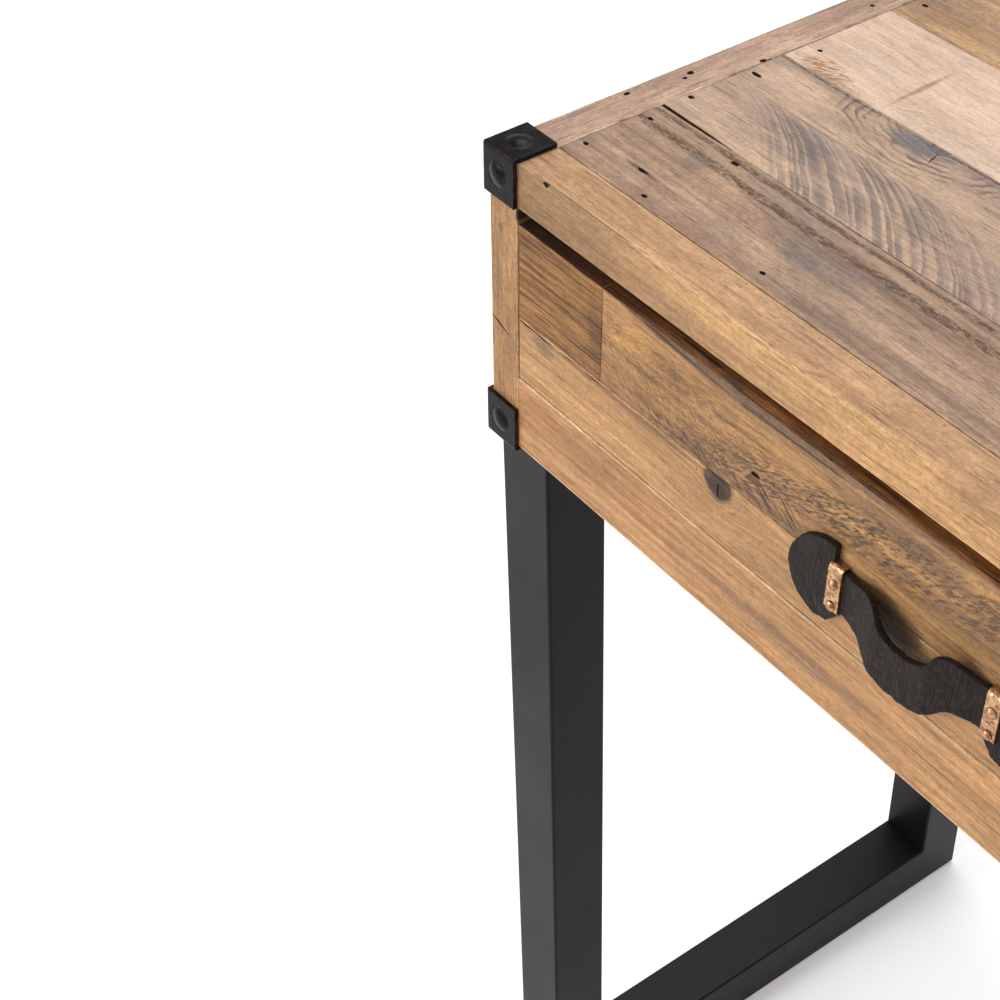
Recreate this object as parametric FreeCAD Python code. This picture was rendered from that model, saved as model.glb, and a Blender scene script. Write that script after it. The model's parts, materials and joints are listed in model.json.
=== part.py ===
import FreeCAD, Part
import os

# Side table with one drawer: a reclaimed timber carcase on two closed steel loops.
# Millimetres. +Z is up, +Y is towards the back, +X is to the right seen from the front.
# The origin is on the floor, under the middle of the table's outer box.

V = FreeCAD.Vector
NEAR = 0.01

# Overall timber size
WIDTH = 606.0
DEPTH = 410.0
HEIGHT = 800.0

# Timber sections
BATTEN = 25.0
POST_WIDTH = 22.5
PANEL = 20.0
PLANK_WIDTHS = (63.0, 81.0, 75.0, 68.0, 73.0)
CARCASE_HEIGHT = 175.0
RAIL_HEIGHT = 46.4
OPEN_SEAM_LENGTH = 50.0
OPEN_SEAM_GAP = 1.4
OPEN_SEAM_DEPTH = 9.0

# Iron corners
BRACKET_REACH = (22.5, 24.0, 25.0)
BRACKET_PLATE = 2.5
BRACKET_EDGE_R = 1.1
DOME_DIA = 13.0
DOME_HEIGHT = 1.9
DOME_ROOT = 0.5

# Steel loops
TUBE = 40.0
TUBE_WALL = 2.0
TUBE_EDGE_R = 1.8
FRAME_INSET_X = 2.5
FRAME_INSET_Y = 3.5
LEAN = 0.032
GLIDE_HEIGHT = 2.0
GLIDE_R = 9.0
GLIDE_INSET = 30.0

# Handle
HANDLE_THICK = 4.0
FINGER_GAP = 8.0
HANDLE_HALF = 76.0
HANDLE_DROP = 93.5
BEND_SKEW = 1.3
BLANK_MARGIN = 1.0
BLANK_LOW = -40.0
BLANK_HEIGHT = 80.0
BEND_OUTER_X = 41.0
BEND_INNER_X = 17.0
STRAP_X0 = 42.0
STRAP_X1 = 50.4
STRAP_THICK = 1.3
STRAP_BEND_R = 3.0
STRAP_TOP = 12.2
STRAP_BOTTOM = -14.6
STRAP_LEG = 8.0
RIVET_Z = (2.5, -10.4)
RIVET_R = 2.9
RIVET_DOME = 1.7
RIVET_SHANK_R = 1.2
RIVET_DEPTH = 9.0
RIVET_HOLE_PAST = 0.5

# Drawer
SIDE_GAP = 0.8
SLIDE_GAP = 0.4
SEAM = 0.1
GUIDE_WIDTH = 16.0
DRAWER_FRONT_TOP = 33.6
DRAWER_SEAM = 88.9
SHORT_PLANK_END = 88.5
BOX_BOARD = 12.0
BOX_TOP = 42.0
BOX_LENGTH = 375.0
BOTTOM_THICK = 6.0
BOTTOM_LIFT = 7.6
GROOVE_DEPTH = 4.5
GROOVE_PLAY = 0.2
TRAVEL = 260.0

# Runners, kickers and stops
RUNNER_HEIGHT = 17.0
RUNNER_WIDTH = 28.0
GUIDE_HEIGHT = 18.0
KICKER_THICK = 15.0
KICKER_PLAY = 2.0
BEARER_WIDTH = 30.0
BEARER_LIFT = 1.0
STOP_DROP = 27.0
STOP_LENGTH = 12.0
STOP_WIDTH = 18.0
OPEN_STOP_GAP = 1.0
CLOSE_STOP_GAP = 0.5
STOP_SIDE_GAP = 1.2
CLOSE_STOP_WIDTH = 11.0

# Screws
SCREW_R = 2.0
SCREW_HEAD_R = 4.0
SCREW_HEAD = 2.4
SCREW_RECESS_R = 1.7
SCREW_PLAY = 0.05
ACCESS_R = 5.5
HOLE_PAST = 1.0
FRAME_SCREW_INSET = 11.0
FRAME_SCREW_LENGTH = 28.0
FRAME_SCREW_SPREAD = 125.0
TOP_SCREW_INSET = 8.0
TOP_SCREW_LENGTH = 30.0
FACE_SCREW_BITE = 12.0
FACE_SCREW_X = 232.0
FACE_SCREW_INNER_X = 120.0
FACE_SCREW_HIGH = 738.0
FACE_SCREW_LOW = 696.0

# Levels and faces worked out from the sizes above
HALF_W = WIDTH / 2
HANDLE_REACH = FINGER_GAP + HANDLE_THICK
FRONT = -(DEPTH + BRACKET_PLATE + DOME_HEIGHT - HANDLE_REACH) / 2
BACK = FRONT + DEPTH
TOP_UNDER = HEIGHT - BATTEN
CARCASE_LOW = HEIGHT - CARCASE_HEIGHT
FRAME_TOP = CARCASE_LOW - BRACKET_PLATE
INNER_W = HALF_W - POST_WIDTH
RAIL_TOP = CARCASE_LOW + RAIL_HEIGHT
RUNNER_TOP = RAIL_TOP + SLIDE_GAP
DRAWER_LOW = RUNNER_TOP + SLIDE_GAP
DRAWER_HIGH = HEIGHT - DRAWER_FRONT_TOP
SEAM_Z = HEIGHT - DRAWER_SEAM
FRONT_HALF = INNER_W - SIDE_GAP
BOX_HALF = HALF_W - PANEL - GUIDE_WIDTH - SIDE_GAP
BOX_FRONT = FRONT + PANEL
BOX_BACK = FRONT + BOX_LENGTH
BOX_HIGH = HEIGHT - BOX_TOP
HANDLE_Z = HEIGHT - HANDLE_DROP
PANEL_IN = HALF_W - PANEL

shapes = {}


def box(x0, x1, y0, y1, z0, z1):
    return Part.makeBox(x1 - x0, y1 - y0, z1 - z0, V(x0, y0, z0))


def mirrored(shape):
    """The same piece on the other side of the table's middle plane."""
    return shape.mirror(V(0, 0, 0), V(1, 0, 0))


def both_sides(name, left):
    shapes[name + "_left"] = left
    shapes[name + "_right"] = mirrored(left)


def screw(point, direction, length):
    """A pan-head screw: point is under the head, direction is the way it is driven."""
    shank = Part.makeCylinder(SCREW_R, length, point, direction)
    head = Part.makeCylinder(SCREW_HEAD_R, SCREW_HEAD, point - direction * SCREW_HEAD, direction)
    body = head.fuse(shank)
    recess = Part.makeCylinder(SCREW_RECESS_R, SCREW_HEAD / 2, point - direction * SCREW_HEAD, direction)
    return body.cut(recess)


def screw_hole(point, direction, length):
    return Part.makeCylinder(SCREW_R + SCREW_PLAY, length + HOLE_PAST, point, direction)


def drill(names, holes):
    for name in names:
        for hole in holes:
            shapes[name] = shapes[name].cut(hole)


# ---------------------------------------------------------------- tabletop


def tabletop():
    """A square batten border round five planks that run from left to right."""
    side = box(-HALF_W, -INNER_W, FRONT, BACK, TOP_UNDER, HEIGHT)
    both_sides("top_border", side)
    shapes["top_border_front"] = box(-INNER_W, INNER_W, FRONT, FRONT + BATTEN, TOP_UNDER, HEIGHT)
    shapes["top_border_back"] = box(-INNER_W, INNER_W, BACK - BATTEN, BACK, TOP_UNDER, HEIGHT)
    edge = FRONT + BATTEN
    for number, width in enumerate(PLANK_WIDTHS, start=1):
        name = "top_plank_%d" % number
        shapes[name] = box(-INNER_W, INNER_W, edge, edge + width, TOP_UNDER, HEIGHT)
        edge += width
    shapes["top_plank_2"] = shapes["top_plank_2"].cut(open_seam())


def open_seam():
    """The gap that has opened at the left end of the seam between planks 1 and 2."""
    seam_y = FRONT + BATTEN + PLANK_WIDTHS[0]
    wedge = Part.makePolygon([
        V(-INNER_W, seam_y, HEIGHT),
        V(-INNER_W + OPEN_SEAM_LENGTH, seam_y, HEIGHT),
        V(-INNER_W, seam_y + OPEN_SEAM_GAP, HEIGHT),
        V(-INNER_W, seam_y, HEIGHT),
    ])
    return Part.Face(wedge).extrude(V(0, 0, -OPEN_SEAM_DEPTH))


# ----------------------------------------------------------------- carcase


def carcase():
    """Posts, rails and panels under the top; the drawer bay is open at the front."""
    for row, y0 in (("front", FRONT), ("back", BACK - BATTEN)):
        post = box(-HALF_W, -INNER_W, y0, y0 + BATTEN, CARCASE_LOW, TOP_UNDER)
        both_sides("post_" + row, post)
    shapes["front_bottom_rail"] = box(-INNER_W, INNER_W, FRONT, FRONT + BATTEN, CARCASE_LOW, RAIL_TOP)
    shapes["back_panel"] = box(-INNER_W, INNER_W, BACK - PANEL, BACK, CARCASE_LOW, TOP_UNDER)
    between = (FRONT + BATTEN, BACK - BATTEN)
    both_sides("side_panel", box(-HALF_W, -PANEL_IN, between[0], between[1], CARCASE_LOW, TOP_UNDER))


def runners():
    """L-shaped runners carry and guide the drawer; kickers above keep it from tipping."""
    y0 = FRONT + BATTEN
    y1 = BACK - BATTEN
    ledge = box(-PANEL_IN, -PANEL_IN + RUNNER_WIDTH, y0, y1, RUNNER_TOP - RUNNER_HEIGHT, RUNNER_TOP)
    guide = box(-PANEL_IN, -BOX_HALF - SIDE_GAP, y0, y1, RUNNER_TOP, RUNNER_TOP + GUIDE_HEIGHT)
    both_sides("runner", ledge.fuse(guide).removeSplitter())
    kicker_y0 = BOX_FRONT + BOX_BOARD + KICKER_PLAY
    kicker_z0 = TOP_UNDER - KICKER_THICK
    both_sides("kicker", box(-PANEL_IN, -PANEL_IN + RUNNER_WIDTH, kicker_y0, y1, kicker_z0, TOP_UNDER))
    half = BEARER_WIDTH / 2
    bearer_z0 = TOP_UNDER - KICKER_THICK + BEARER_LIFT
    shapes["top_bearer"] = box(-half, half, kicker_y0, BACK - PANEL, bearer_z0, TOP_UNDER)


def stops():
    """Blocks that end the drawer's travel at both limits."""
    open_y1 = BOX_BACK - BOX_BOARD - TRAVEL - OPEN_STOP_GAP
    x0 = -BOX_HALF + BOX_BOARD + STOP_SIDE_GAP
    open_stop = box(x0, x0 + STOP_WIDTH, open_y1 - STOP_LENGTH, open_y1, TOP_UNDER - STOP_DROP, TOP_UNDER)
    both_sides("open_stop", open_stop)
    close_x0 = -BOX_HALF - SIDE_GAP
    close_stop = box(close_x0, close_x0 + CLOSE_STOP_WIDTH, BOX_BACK + CLOSE_STOP_GAP, BACK - BATTEN,
                     RUNNER_TOP, RUNNER_TOP + GUIDE_HEIGHT)
    both_sides("close_stop", close_stop)


# ------------------------------------------------------------ iron corners


def dome(centre, outward):
    """A low stamped boss standing out of a plate."""
    half = DOME_DIA / 2
    radius = (half * half + DOME_HEIGHT * DOME_HEIGHT) / (2 * DOME_HEIGHT)
    ball = Part.makeSphere(radius, centre + outward * (DOME_HEIGHT - radius))
    keep = Part.makeCylinder(DOME_DIA, DOME_HEIGHT * 2, centre - outward * DOME_ROOT, outward)
    return ball.common(keep)


def corner_bracket(with_bottom_dome):
    """Three square plates round the corner at the origin; the timber is towards +X +Y +Z."""
    p = BRACKET_PLATE
    x, y, z = BRACKET_REACH
    outer = box(-p, x, -p, y, -p, z)
    rounded = [e for e in outer.Edges if is_outer_edge(e, -p)]
    bracket = outer.makeFillet(BRACKET_EDGE_R, rounded)
    bracket = bracket.cut(box(0, x + p, 0, y + p, 0, z + p))
    middle = V(x - p, y - p, z - p) / 2
    bosses = [(V(-p, middle.y, middle.z), V(-1, 0, 0)), (V(middle.x, -p, middle.z), V(0, -1, 0))]
    if with_bottom_dome:
        bosses.append((V(middle.x, middle.y, -p), V(0, 0, -1)))
    for centre, outward in bosses:
        bracket = bracket.fuse(dome(centre, outward))
    return bracket.removeSplitter()


def is_outer_edge(edge, low):
    """True for the three edges that meet at the bracket's own outer corner."""
    points = [v.Point for v in edge.Vertexes]
    on_low = 0
    for axis in range(3):
        if all(abs(point[axis] - low) < NEAR for point in points):
            on_low += 1
    return on_low == 2


def brackets():
    """Corners of the top and of the carcase; the lower ones stay flat where the loops meet them."""
    for level, z, flip in (("top", HEIGHT, True), ("bottom", CARCASE_LOW, False)):
        for row, y, turn in (("front", FRONT, False), ("back", BACK, True)):
            corner = corner_bracket(with_bottom_dome=flip)
            if flip:
                corner = corner.mirror(V(0, 0, 0), V(0, 0, 1))
            if turn:
                corner = corner.mirror(V(0, 0, 0), V(0, 1, 0))
            corner.translate(V(-HALF_W, y, z))
            both_sides("corner_%s_%s" % (level, row), corner)


# ------------------------------------------------------------- steel loops


def leaning(y, z, x_at_top):
    """A point of the left loop, which leans towards the middle on its way down."""
    return V(x_at_top + LEAN * (FRAME_TOP - z), y, z)


def leaning_prism(outline, x0, x1):
    points = [leaning(y, z, x0) for y, z in outline]
    face = Part.Face(Part.makePolygon(points + [points[0]]))
    return face.extrude(V(x1 - x0, 0, 0))


def long_edges(solid, direction):
    """The edges that run along the tube, found by their direction."""
    found = []
    for edge in solid.Edges:
        span = edge.Vertexes[1].Point - edge.Vertexes[0].Point
        if span.Length > TUBE * 2 and abs(span.normalize().dot(direction)) > 0.99:
            found.append(edge)
    return found


def mitred_tube(corners, inset, x0):
    """One side of a loop: corners are its two outer corners, inset turns them to the inner ones."""
    (ya, za), (yb, zb) = corners
    (dya, dza), (dyb, dzb) = inset

    def outline(start, end):
        return [
            (ya + dya * start, za + dza * start),
            (yb + dyb * start, zb + dzb * start),
            (yb + dyb * end, zb + dzb * end),
            (ya + dya * end, za + dza * end),
        ]

    outer = leaning_prism(outline(0, TUBE), x0, x0 + TUBE)
    along = leaning(yb, zb, 0) - leaning(ya, za, 0)
    outer = outer.makeFillet(TUBE_EDGE_R, long_edges(outer, along.normalize()))
    hollow = leaning_prism(outline(TUBE_WALL, TUBE - TUBE_WALL), x0 + TUBE_WALL, x0 + TUBE - TUBE_WALL)
    return outer.cut(hollow)


def loops():
    """Each loop is four mitred tubes; both legs lean inwards, the rails stay level."""
    y0 = FRONT + FRAME_INSET_Y
    y1 = BACK - FRAME_INSET_Y
    z0 = GLIDE_HEIGHT
    z1 = FRAME_TOP
    x0 = -HALF_W + FRAME_INSET_X
    sides = {
        "leg_front": (((y0, z0), (y0, z1)), ((1, 1), (1, -1))),
        "leg_back": (((y1, z0), (y1, z1)), ((-1, 1), (-1, -1))),
        "frame_top_rail": (((y0, z1), (y1, z1)), ((1, -1), (-1, -1))),
        "floor_rail": (((y0, z0), (y1, z0)), ((1, 1), (-1, 1))),
    }
    for name, (corners, inset) in sides.items():
        both_sides(name, mitred_tube(corners, inset, x0))


def glides():
    """Four thin pads under the ends of the floor rails."""
    x = -HALF_W + FRAME_INSET_X + TUBE / 2 + LEAN * FRAME_TOP
    pads = []
    for y in (FRONT + GLIDE_INSET, BACK - GLIDE_INSET):
        pad = Part.makeCylinder(GLIDE_R, GLIDE_HEIGHT, V(x, y, 0))
        pads.append(pad)
        pads.append(mirrored(pad))
    shapes["floor_glides"] = Part.makeCompound(pads)


# ------------------------------------------------------------------ screws


def frame_screws():
    """Screws from inside the loops' top rails up into the side panels."""
    up = V(0, 0, 1)
    x = -HALF_W + FRAME_SCREW_INSET
    start = FRAME_TOP - TUBE_WALL
    length = FRAME_SCREW_LENGTH
    screws = []
    holes = []
    for y in (-FRAME_SCREW_SPREAD, 0.0, FRAME_SCREW_SPREAD):
        screws.append(screw(V(x, y, start), up, length))
        holes.append(screw_hole(V(x, y, start - HOLE_PAST), up, length + HOLE_PAST))
        holes.append(Part.makeCylinder(ACCESS_R, TUBE_WALL * 2, V(x, y, FRAME_TOP - TUBE - HOLE_PAST)))
    both_sides("frame_screws", Part.makeCompound(screws))
    drill(["side_panel_left", "frame_top_rail_left"], holes)
    drill(["side_panel_right", "frame_top_rail_right"], [mirrored(hole) for hole in holes])


def top_screws():
    """Screws up through the kickers and the bearer, one into each plank."""
    up = V(0, 0, 1)
    length = TOP_SCREW_LENGTH
    screws = []
    edge = FRONT + BATTEN
    for number, width in enumerate(PLANK_WIDTHS, start=1):
        y = edge + width / 2
        edge += width
        for carrier, x, lift in (
            ("kicker_left", -PANEL_IN + TOP_SCREW_INSET, 0.0),
            ("top_bearer", 0.0, BEARER_LIFT),
            ("kicker_right", PANEL_IN - TOP_SCREW_INSET, 0.0),
        ):
            start = V(x, y, TOP_UNDER - KICKER_THICK + lift)
            screws.append(screw(start, up, length))
            drill(["top_plank_%d" % number, carrier], [screw_hole(start, up, length)])
    shapes["top_screws"] = Part.makeCompound(screws)


# ------------------------------------------------------------------ drawer


def drawer_front():
    """Three face planks: a short and a long one above a full-width one."""
    y0 = FRONT
    y1 = FRONT + PANEL
    seam_x = -HALF_W + SHORT_PLANK_END
    shapes["drawer_plank_short"] = box(-FRONT_HALF, seam_x - SEAM, y0, y1, SEAM_Z + SEAM, DRAWER_HIGH)
    shapes["drawer_plank_long"] = box(seam_x + SEAM, FRONT_HALF, y0, y1, SEAM_Z + SEAM, DRAWER_HIGH)
    shapes["drawer_plank_lower"] = box(-FRONT_HALF, FRONT_HALF, y0, y1, DRAWER_LOW, SEAM_Z - SEAM)


def drawer_box():
    """Inner front, sides and back, with a thin bottom held in grooves."""
    inner = BOX_HALF - BOX_BOARD
    y0 = BOX_FRONT
    y1 = BOX_BACK
    side = box(-BOX_HALF, -inner, y0, y1, DRAWER_LOW, BOX_HIGH)
    front = box(-inner, inner, y0, y0 + BOX_BOARD, DRAWER_LOW, BOX_HIGH)
    back = box(-inner, inner, y1 - BOX_BOARD, y1, DRAWER_LOW, BOX_HIGH)
    reach = GROOVE_DEPTH
    z0 = DRAWER_LOW + BOTTOM_LIFT
    bottom = (-inner - reach, inner + reach, y0 + BOX_BOARD - reach, y1 - BOX_BOARD + reach)
    shapes["drawer_bottom"] = box(*bottom, z0, z0 + BOTTOM_THICK)
    play = GROOVE_PLAY
    groove = box(bottom[0] - play, bottom[1] + play, bottom[2] - play, bottom[3] + play,
                 z0 - play, z0 + BOTTOM_THICK + play)
    both_sides("drawer_side", side.cut(groove))
    shapes["drawer_inner_front"] = front.cut(groove)
    shapes["drawer_back"] = back.cut(groove)


def drawer_screws():
    """Screws from inside the drawer that hold the face planks to the inner front."""
    out = V(0, -1, 0)
    length = BOX_BOARD + FACE_SCREW_BITE
    start_y = BOX_FRONT + BOX_BOARD
    screws = []
    for x, z, plank in (
        (-FACE_SCREW_X, FACE_SCREW_HIGH, "drawer_plank_short"),
        (-FACE_SCREW_INNER_X, FACE_SCREW_HIGH, "drawer_plank_long"),
        (FACE_SCREW_INNER_X, FACE_SCREW_HIGH, "drawer_plank_long"),
        (FACE_SCREW_X, FACE_SCREW_HIGH, "drawer_plank_long"),
        (-FACE_SCREW_X, FACE_SCREW_LOW, "drawer_plank_lower"),
        (0.0, FACE_SCREW_LOW, "drawer_plank_lower"),
        (FACE_SCREW_X, FACE_SCREW_LOW, "drawer_plank_lower"),
    ):
        point = V(x, start_y, z)
        screws.append(screw(point, out, length))
        drill([plank, "drawer_inner_front"], [screw_hole(point, out, length)])
    shapes["drawer_front_screws"] = Part.makeCompound(screws)


# ------------------------------------------------------------------ handle


def smooth(points):
    """A curve through points given as distances from the handle's middle."""
    curve = Part.BSplineCurve()
    curve.interpolate([V(x, 0, z) for x, z in points])
    return curve.toShape()


def line(a, b):
    return Part.makeLine(V(a[0], 0, a[1]), V(b[0], 0, b[1]))


def arc(a, b, c):
    return Part.Arc(V(a[0], 0, a[1]), V(b[0], 0, b[1]), V(c[0], 0, c[1])).toShape()


def handle_half_outline():
    """The forged outline of one half: belly, neck and bird-headed lobe."""
    upper = [(0, 2.4), (8, 3.0), (14.3, 8.0), (17.1, 13.6), (22.8, 16.4), (31.4, 14.3), (41.4, 11.8)]
    lower = [(40.7, -12.5), (33.0, -12.0), (26.3, -13.0), (21.5, -17.6), (11.0, -23.2), (0, -24.2)]
    neck_top = (48.0, 11.8)
    lobe_in = (48.5, 22.3)
    tip = (HANDLE_HALF, -2.0)
    lobe_low = (56.5, -24.4)
    heel = (49.0, -22.6)
    edges = [
        smooth(upper),
        line(upper[-1], neck_top),
        line(neck_top, lobe_in),
        arc(lobe_in, (68.0, 15.5), tip),
        arc(tip, (69.5, -17.8), lobe_low),
        line(lobe_low, heel),
        line(heel, lower[0]),
        smooth(lower),
        line(lower[-1], upper[0]),
    ]
    return Part.Face(Part.Wire(edges))


def bowed_strip():
    """The plate seen from above: flat at the ends, bowed out in the middle for fingers."""
    t = HANDLE_THICK
    inner = [(-HANDLE_HALF - BLANK_MARGIN, 0), (-BEND_OUTER_X, 0), (-BEND_INNER_X, -FINGER_GAP)]
    inner += [(-x, y) for x, y in reversed(inner)]
    outer = [(-HANDLE_HALF - BLANK_MARGIN, -t), (-BEND_OUTER_X + BEND_SKEW, -t)]
    outer.append((-BEND_INNER_X + BEND_SKEW, -FINGER_GAP - t))
    outer += [(-x, y) for x, y in reversed(outer)]
    points = [V(x, y, BLANK_LOW) for x, y in inner + outer[::-1]]
    return Part.Face(Part.makePolygon(points + [points[0]])).extrude(V(0, 0, BLANK_HEIGHT))


def strap_left():
    """A copper staple over the neck, with both legs driven into the drawer front."""
    face = HANDLE_THICK
    front = box(-STRAP_X1, -STRAP_X0, -face - STRAP_THICK, -face, STRAP_BOTTOM, STRAP_TOP + STRAP_THICK)
    top_leg = box(-STRAP_X1, -STRAP_X0, -face, STRAP_LEG, STRAP_TOP, STRAP_TOP + STRAP_THICK)
    low_leg = box(-STRAP_X1, -STRAP_X0, -face, STRAP_LEG, STRAP_BOTTOM, STRAP_BOTTOM + STRAP_THICK)
    strap = front.fuse([top_leg, low_leg]).removeSplitter()
    bends = [edge for edge in strap.Edges if is_bend(edge)]
    return strap.makeFillet(STRAP_BEND_R, bends)


def is_bend(edge):
    """True for the two outer edges where the strap turns into its legs."""
    start, end = [v.Point for v in edge.Vertexes]
    on_face = abs(start.y + HANDLE_THICK + STRAP_THICK) < NEAR and abs(end.y - start.y) < NEAR
    return on_face and abs(end.z - start.z) < NEAR


def rivet(z):
    """A round-headed rivet through the strap and the neck."""
    x = -(STRAP_X0 + STRAP_X1) / 2
    seat = -HANDLE_THICK - STRAP_THICK
    radius = (RIVET_R ** 2 + RIVET_DOME ** 2) / (2 * RIVET_DOME)
    ball = Part.makeSphere(radius, V(x, seat - RIVET_DOME + radius, z))
    head = ball.common(Part.makeCylinder(RIVET_R * 2, RIVET_DOME * 2, V(x, seat, z), V(0, -1, 0)))
    shank = Part.makeCylinder(RIVET_SHANK_R, RIVET_DEPTH, V(x, seat, z), V(0, 1, 0))
    depth = RIVET_DEPTH + RIVET_HOLE_PAST
    hole = Part.makeCylinder(RIVET_SHANK_R + SCREW_PLAY, depth, V(x, seat, z), V(0, 1, 0))
    return head.fuse(shank), hole


def handle():
    half = handle_half_outline().extrude(V(0, -HANDLE_REACH - BLANK_MARGIN, 0))
    outline = half.fuse(mirrored(half)).removeSplitter()
    plate = outline.common(bowed_strip())
    strap = strap_left()
    rivets = [rivet(z) for z in RIVET_Z]
    place = V(0, FRONT, HANDLE_Z)
    holes = [hole for _, hole in rivets]
    holes += [mirrored(hole) for hole in holes]
    plate = plate.cut(strap).cut(mirrored(strap))
    for hole in holes[:2]:
        strap = strap.cut(hole)
    for hole in holes:
        plate = plate.cut(hole)
    plate.translate(place)
    strap.translate(place)
    shapes["handle_plate"] = plate
    both_sides("handle_strap", strap)
    heads = [head for head, _ in rivets]
    heads += [mirrored(head) for head in heads]
    group = Part.makeCompound(heads)
    group.translate(place)
    shapes["strap_rivets"] = group
    for hole in holes:
        hole.translate(place)
    drill(["drawer_plank_lower"], holes)
    straps = [shapes["handle_strap_left"], shapes["handle_strap_right"]]
    drill(["drawer_plank_long", "drawer_plank_lower"], straps)


tabletop()
carcase()
runners()
stops()
brackets()
loops()
glides()
frame_screws()
top_screws()
drawer_front()
drawer_box()
drawer_screws()
handle()

os.makedirs("parts", exist_ok=True)
for node, shape in shapes.items():
    if not shape.isValid():
        raise ValueError("invalid solid in " + node)
    shape.exportStep("parts/%s.step" % node)
print(len(shapes), "nodes")
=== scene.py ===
import json
import math
from itertools import product

import bpy
import bmesh
from mathutils import Matrix, Vector, noise


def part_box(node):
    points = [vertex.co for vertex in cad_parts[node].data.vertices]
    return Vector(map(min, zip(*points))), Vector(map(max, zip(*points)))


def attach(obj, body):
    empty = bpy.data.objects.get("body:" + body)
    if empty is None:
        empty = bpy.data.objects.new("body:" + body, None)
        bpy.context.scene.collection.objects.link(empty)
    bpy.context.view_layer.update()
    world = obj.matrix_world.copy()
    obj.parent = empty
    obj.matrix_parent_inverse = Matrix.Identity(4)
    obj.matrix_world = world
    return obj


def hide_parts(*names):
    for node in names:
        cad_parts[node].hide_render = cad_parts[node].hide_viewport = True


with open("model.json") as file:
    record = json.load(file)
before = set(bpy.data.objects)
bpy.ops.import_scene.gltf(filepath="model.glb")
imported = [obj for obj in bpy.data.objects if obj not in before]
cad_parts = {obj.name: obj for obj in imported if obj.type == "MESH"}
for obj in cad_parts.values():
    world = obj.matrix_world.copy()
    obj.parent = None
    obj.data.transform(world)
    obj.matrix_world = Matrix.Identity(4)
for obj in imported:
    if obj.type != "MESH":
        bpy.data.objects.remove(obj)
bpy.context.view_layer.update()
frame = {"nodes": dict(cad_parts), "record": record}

MM = 0.001
X, Y, Z = 0, 1, 2

# ------------------------------------------------------------ places on the table

top_low, top_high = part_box("top_border_left")
CORNER = Vector((top_low.x, top_low.y, top_high.z))  # left front upper corner of the timber


def on_top(right, back):
    """A point of the tabletop, in mm from the left front corner."""
    return CORNER + Vector((right, back, 0)) * MM


def on_front(right, down):
    """A point of the front face, in mm from the left front corner."""
    return CORNER + Vector((right, 0, -down)) * MM


def top_at(right, back):
    """The same point as on_top, as the plank coordinates x and y."""
    return CORNER.x + right * MM, CORNER.y + back * MM


def front_at(right, down):
    """The same point as on_front, as the plank coordinates x and z."""
    return CORNER.x + right * MM, CORNER.z - down * MM


def side_at(back, right):
    """A point of the tabletop for a batten that runs from front to back, as y and x."""
    return CORNER.y + back * MM, CORNER.x + right * MM


def post_at(down, right):
    """A point of the front face for a post, which runs up and down, as z and x."""
    return CORNER.z - down * MM, CORNER.x + right * MM


def spots(place, *rows):
    """Patches or hatches. A row starts with its centre and its half length and half width, in mm."""
    return [(place(*row[:2]), (row[2] * MM, row[3] * MM)) + row[4:] for row in rows]


def stripes(*rows):
    """Bands of a top plank. A row says how far back, half width in mm, amount and colour."""
    return [(top_at(0, back)[1], half * MM, amount, colour) for back, half, amount, colour in rows]


# ----------------------------------------------------------------------- camera

# Solved from the photo's vanishing points. The place is in metres from the corner above.
CAMERA_FROM_CORNER = Vector((0.678, -0.485, 0.522))
CAMERA_AZIMUTH = math.radians(54.22)
CAMERA_ELEVATION = math.radians(42.04)
CAMERA_ROLL = math.radians(-0.78)
CAMERA_LENS = 72.9  # mm, as is the width of the sensor
SENSOR_WIDTH = 36


def make_camera():
    flat = math.cos(CAMERA_ELEVATION)
    forward = Vector((
        -math.sin(CAMERA_AZIMUTH) * flat,
        math.cos(CAMERA_AZIMUTH) * flat,
        -math.sin(CAMERA_ELEVATION),
    ))
    level = Vector((math.cos(CAMERA_AZIMUTH), math.sin(CAMERA_AZIMUTH), 0))
    above = level.cross(forward)
    right = level * math.cos(CAMERA_ROLL) + above * math.sin(CAMERA_ROLL)
    up = above * math.cos(CAMERA_ROLL) - level * math.sin(CAMERA_ROLL)
    data = bpy.data.cameras.new("camera")
    data.lens = CAMERA_LENS
    data.sensor_width = SENSOR_WIDTH
    camera = bpy.data.objects.new("camera", data)
    bpy.context.scene.collection.objects.link(camera)
    turn = Matrix((right, up, -forward)).transposed()
    camera.matrix_world = Matrix.Translation(CORNER + CAMERA_FROM_CORNER) @ turn.to_4x4()
    bpy.context.scene.camera = camera


# ------------------------------------------------------------------ node helper


def rgb(red, green, blue):
    """A linear colour from the usual 0 to 255 display values."""
    def linear(value):
        value /= 255
        return value / 12.92 if value <= 0.04045 else ((value + 0.055) / 1.055) ** 2.4
    return (linear(red), linear(green), linear(blue), 1.0)


def deeper(colour, factor):
    """A darker or lighter colour of the same hue."""
    return tuple(part * factor for part in colour[:3]) + (1.0,)


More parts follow.
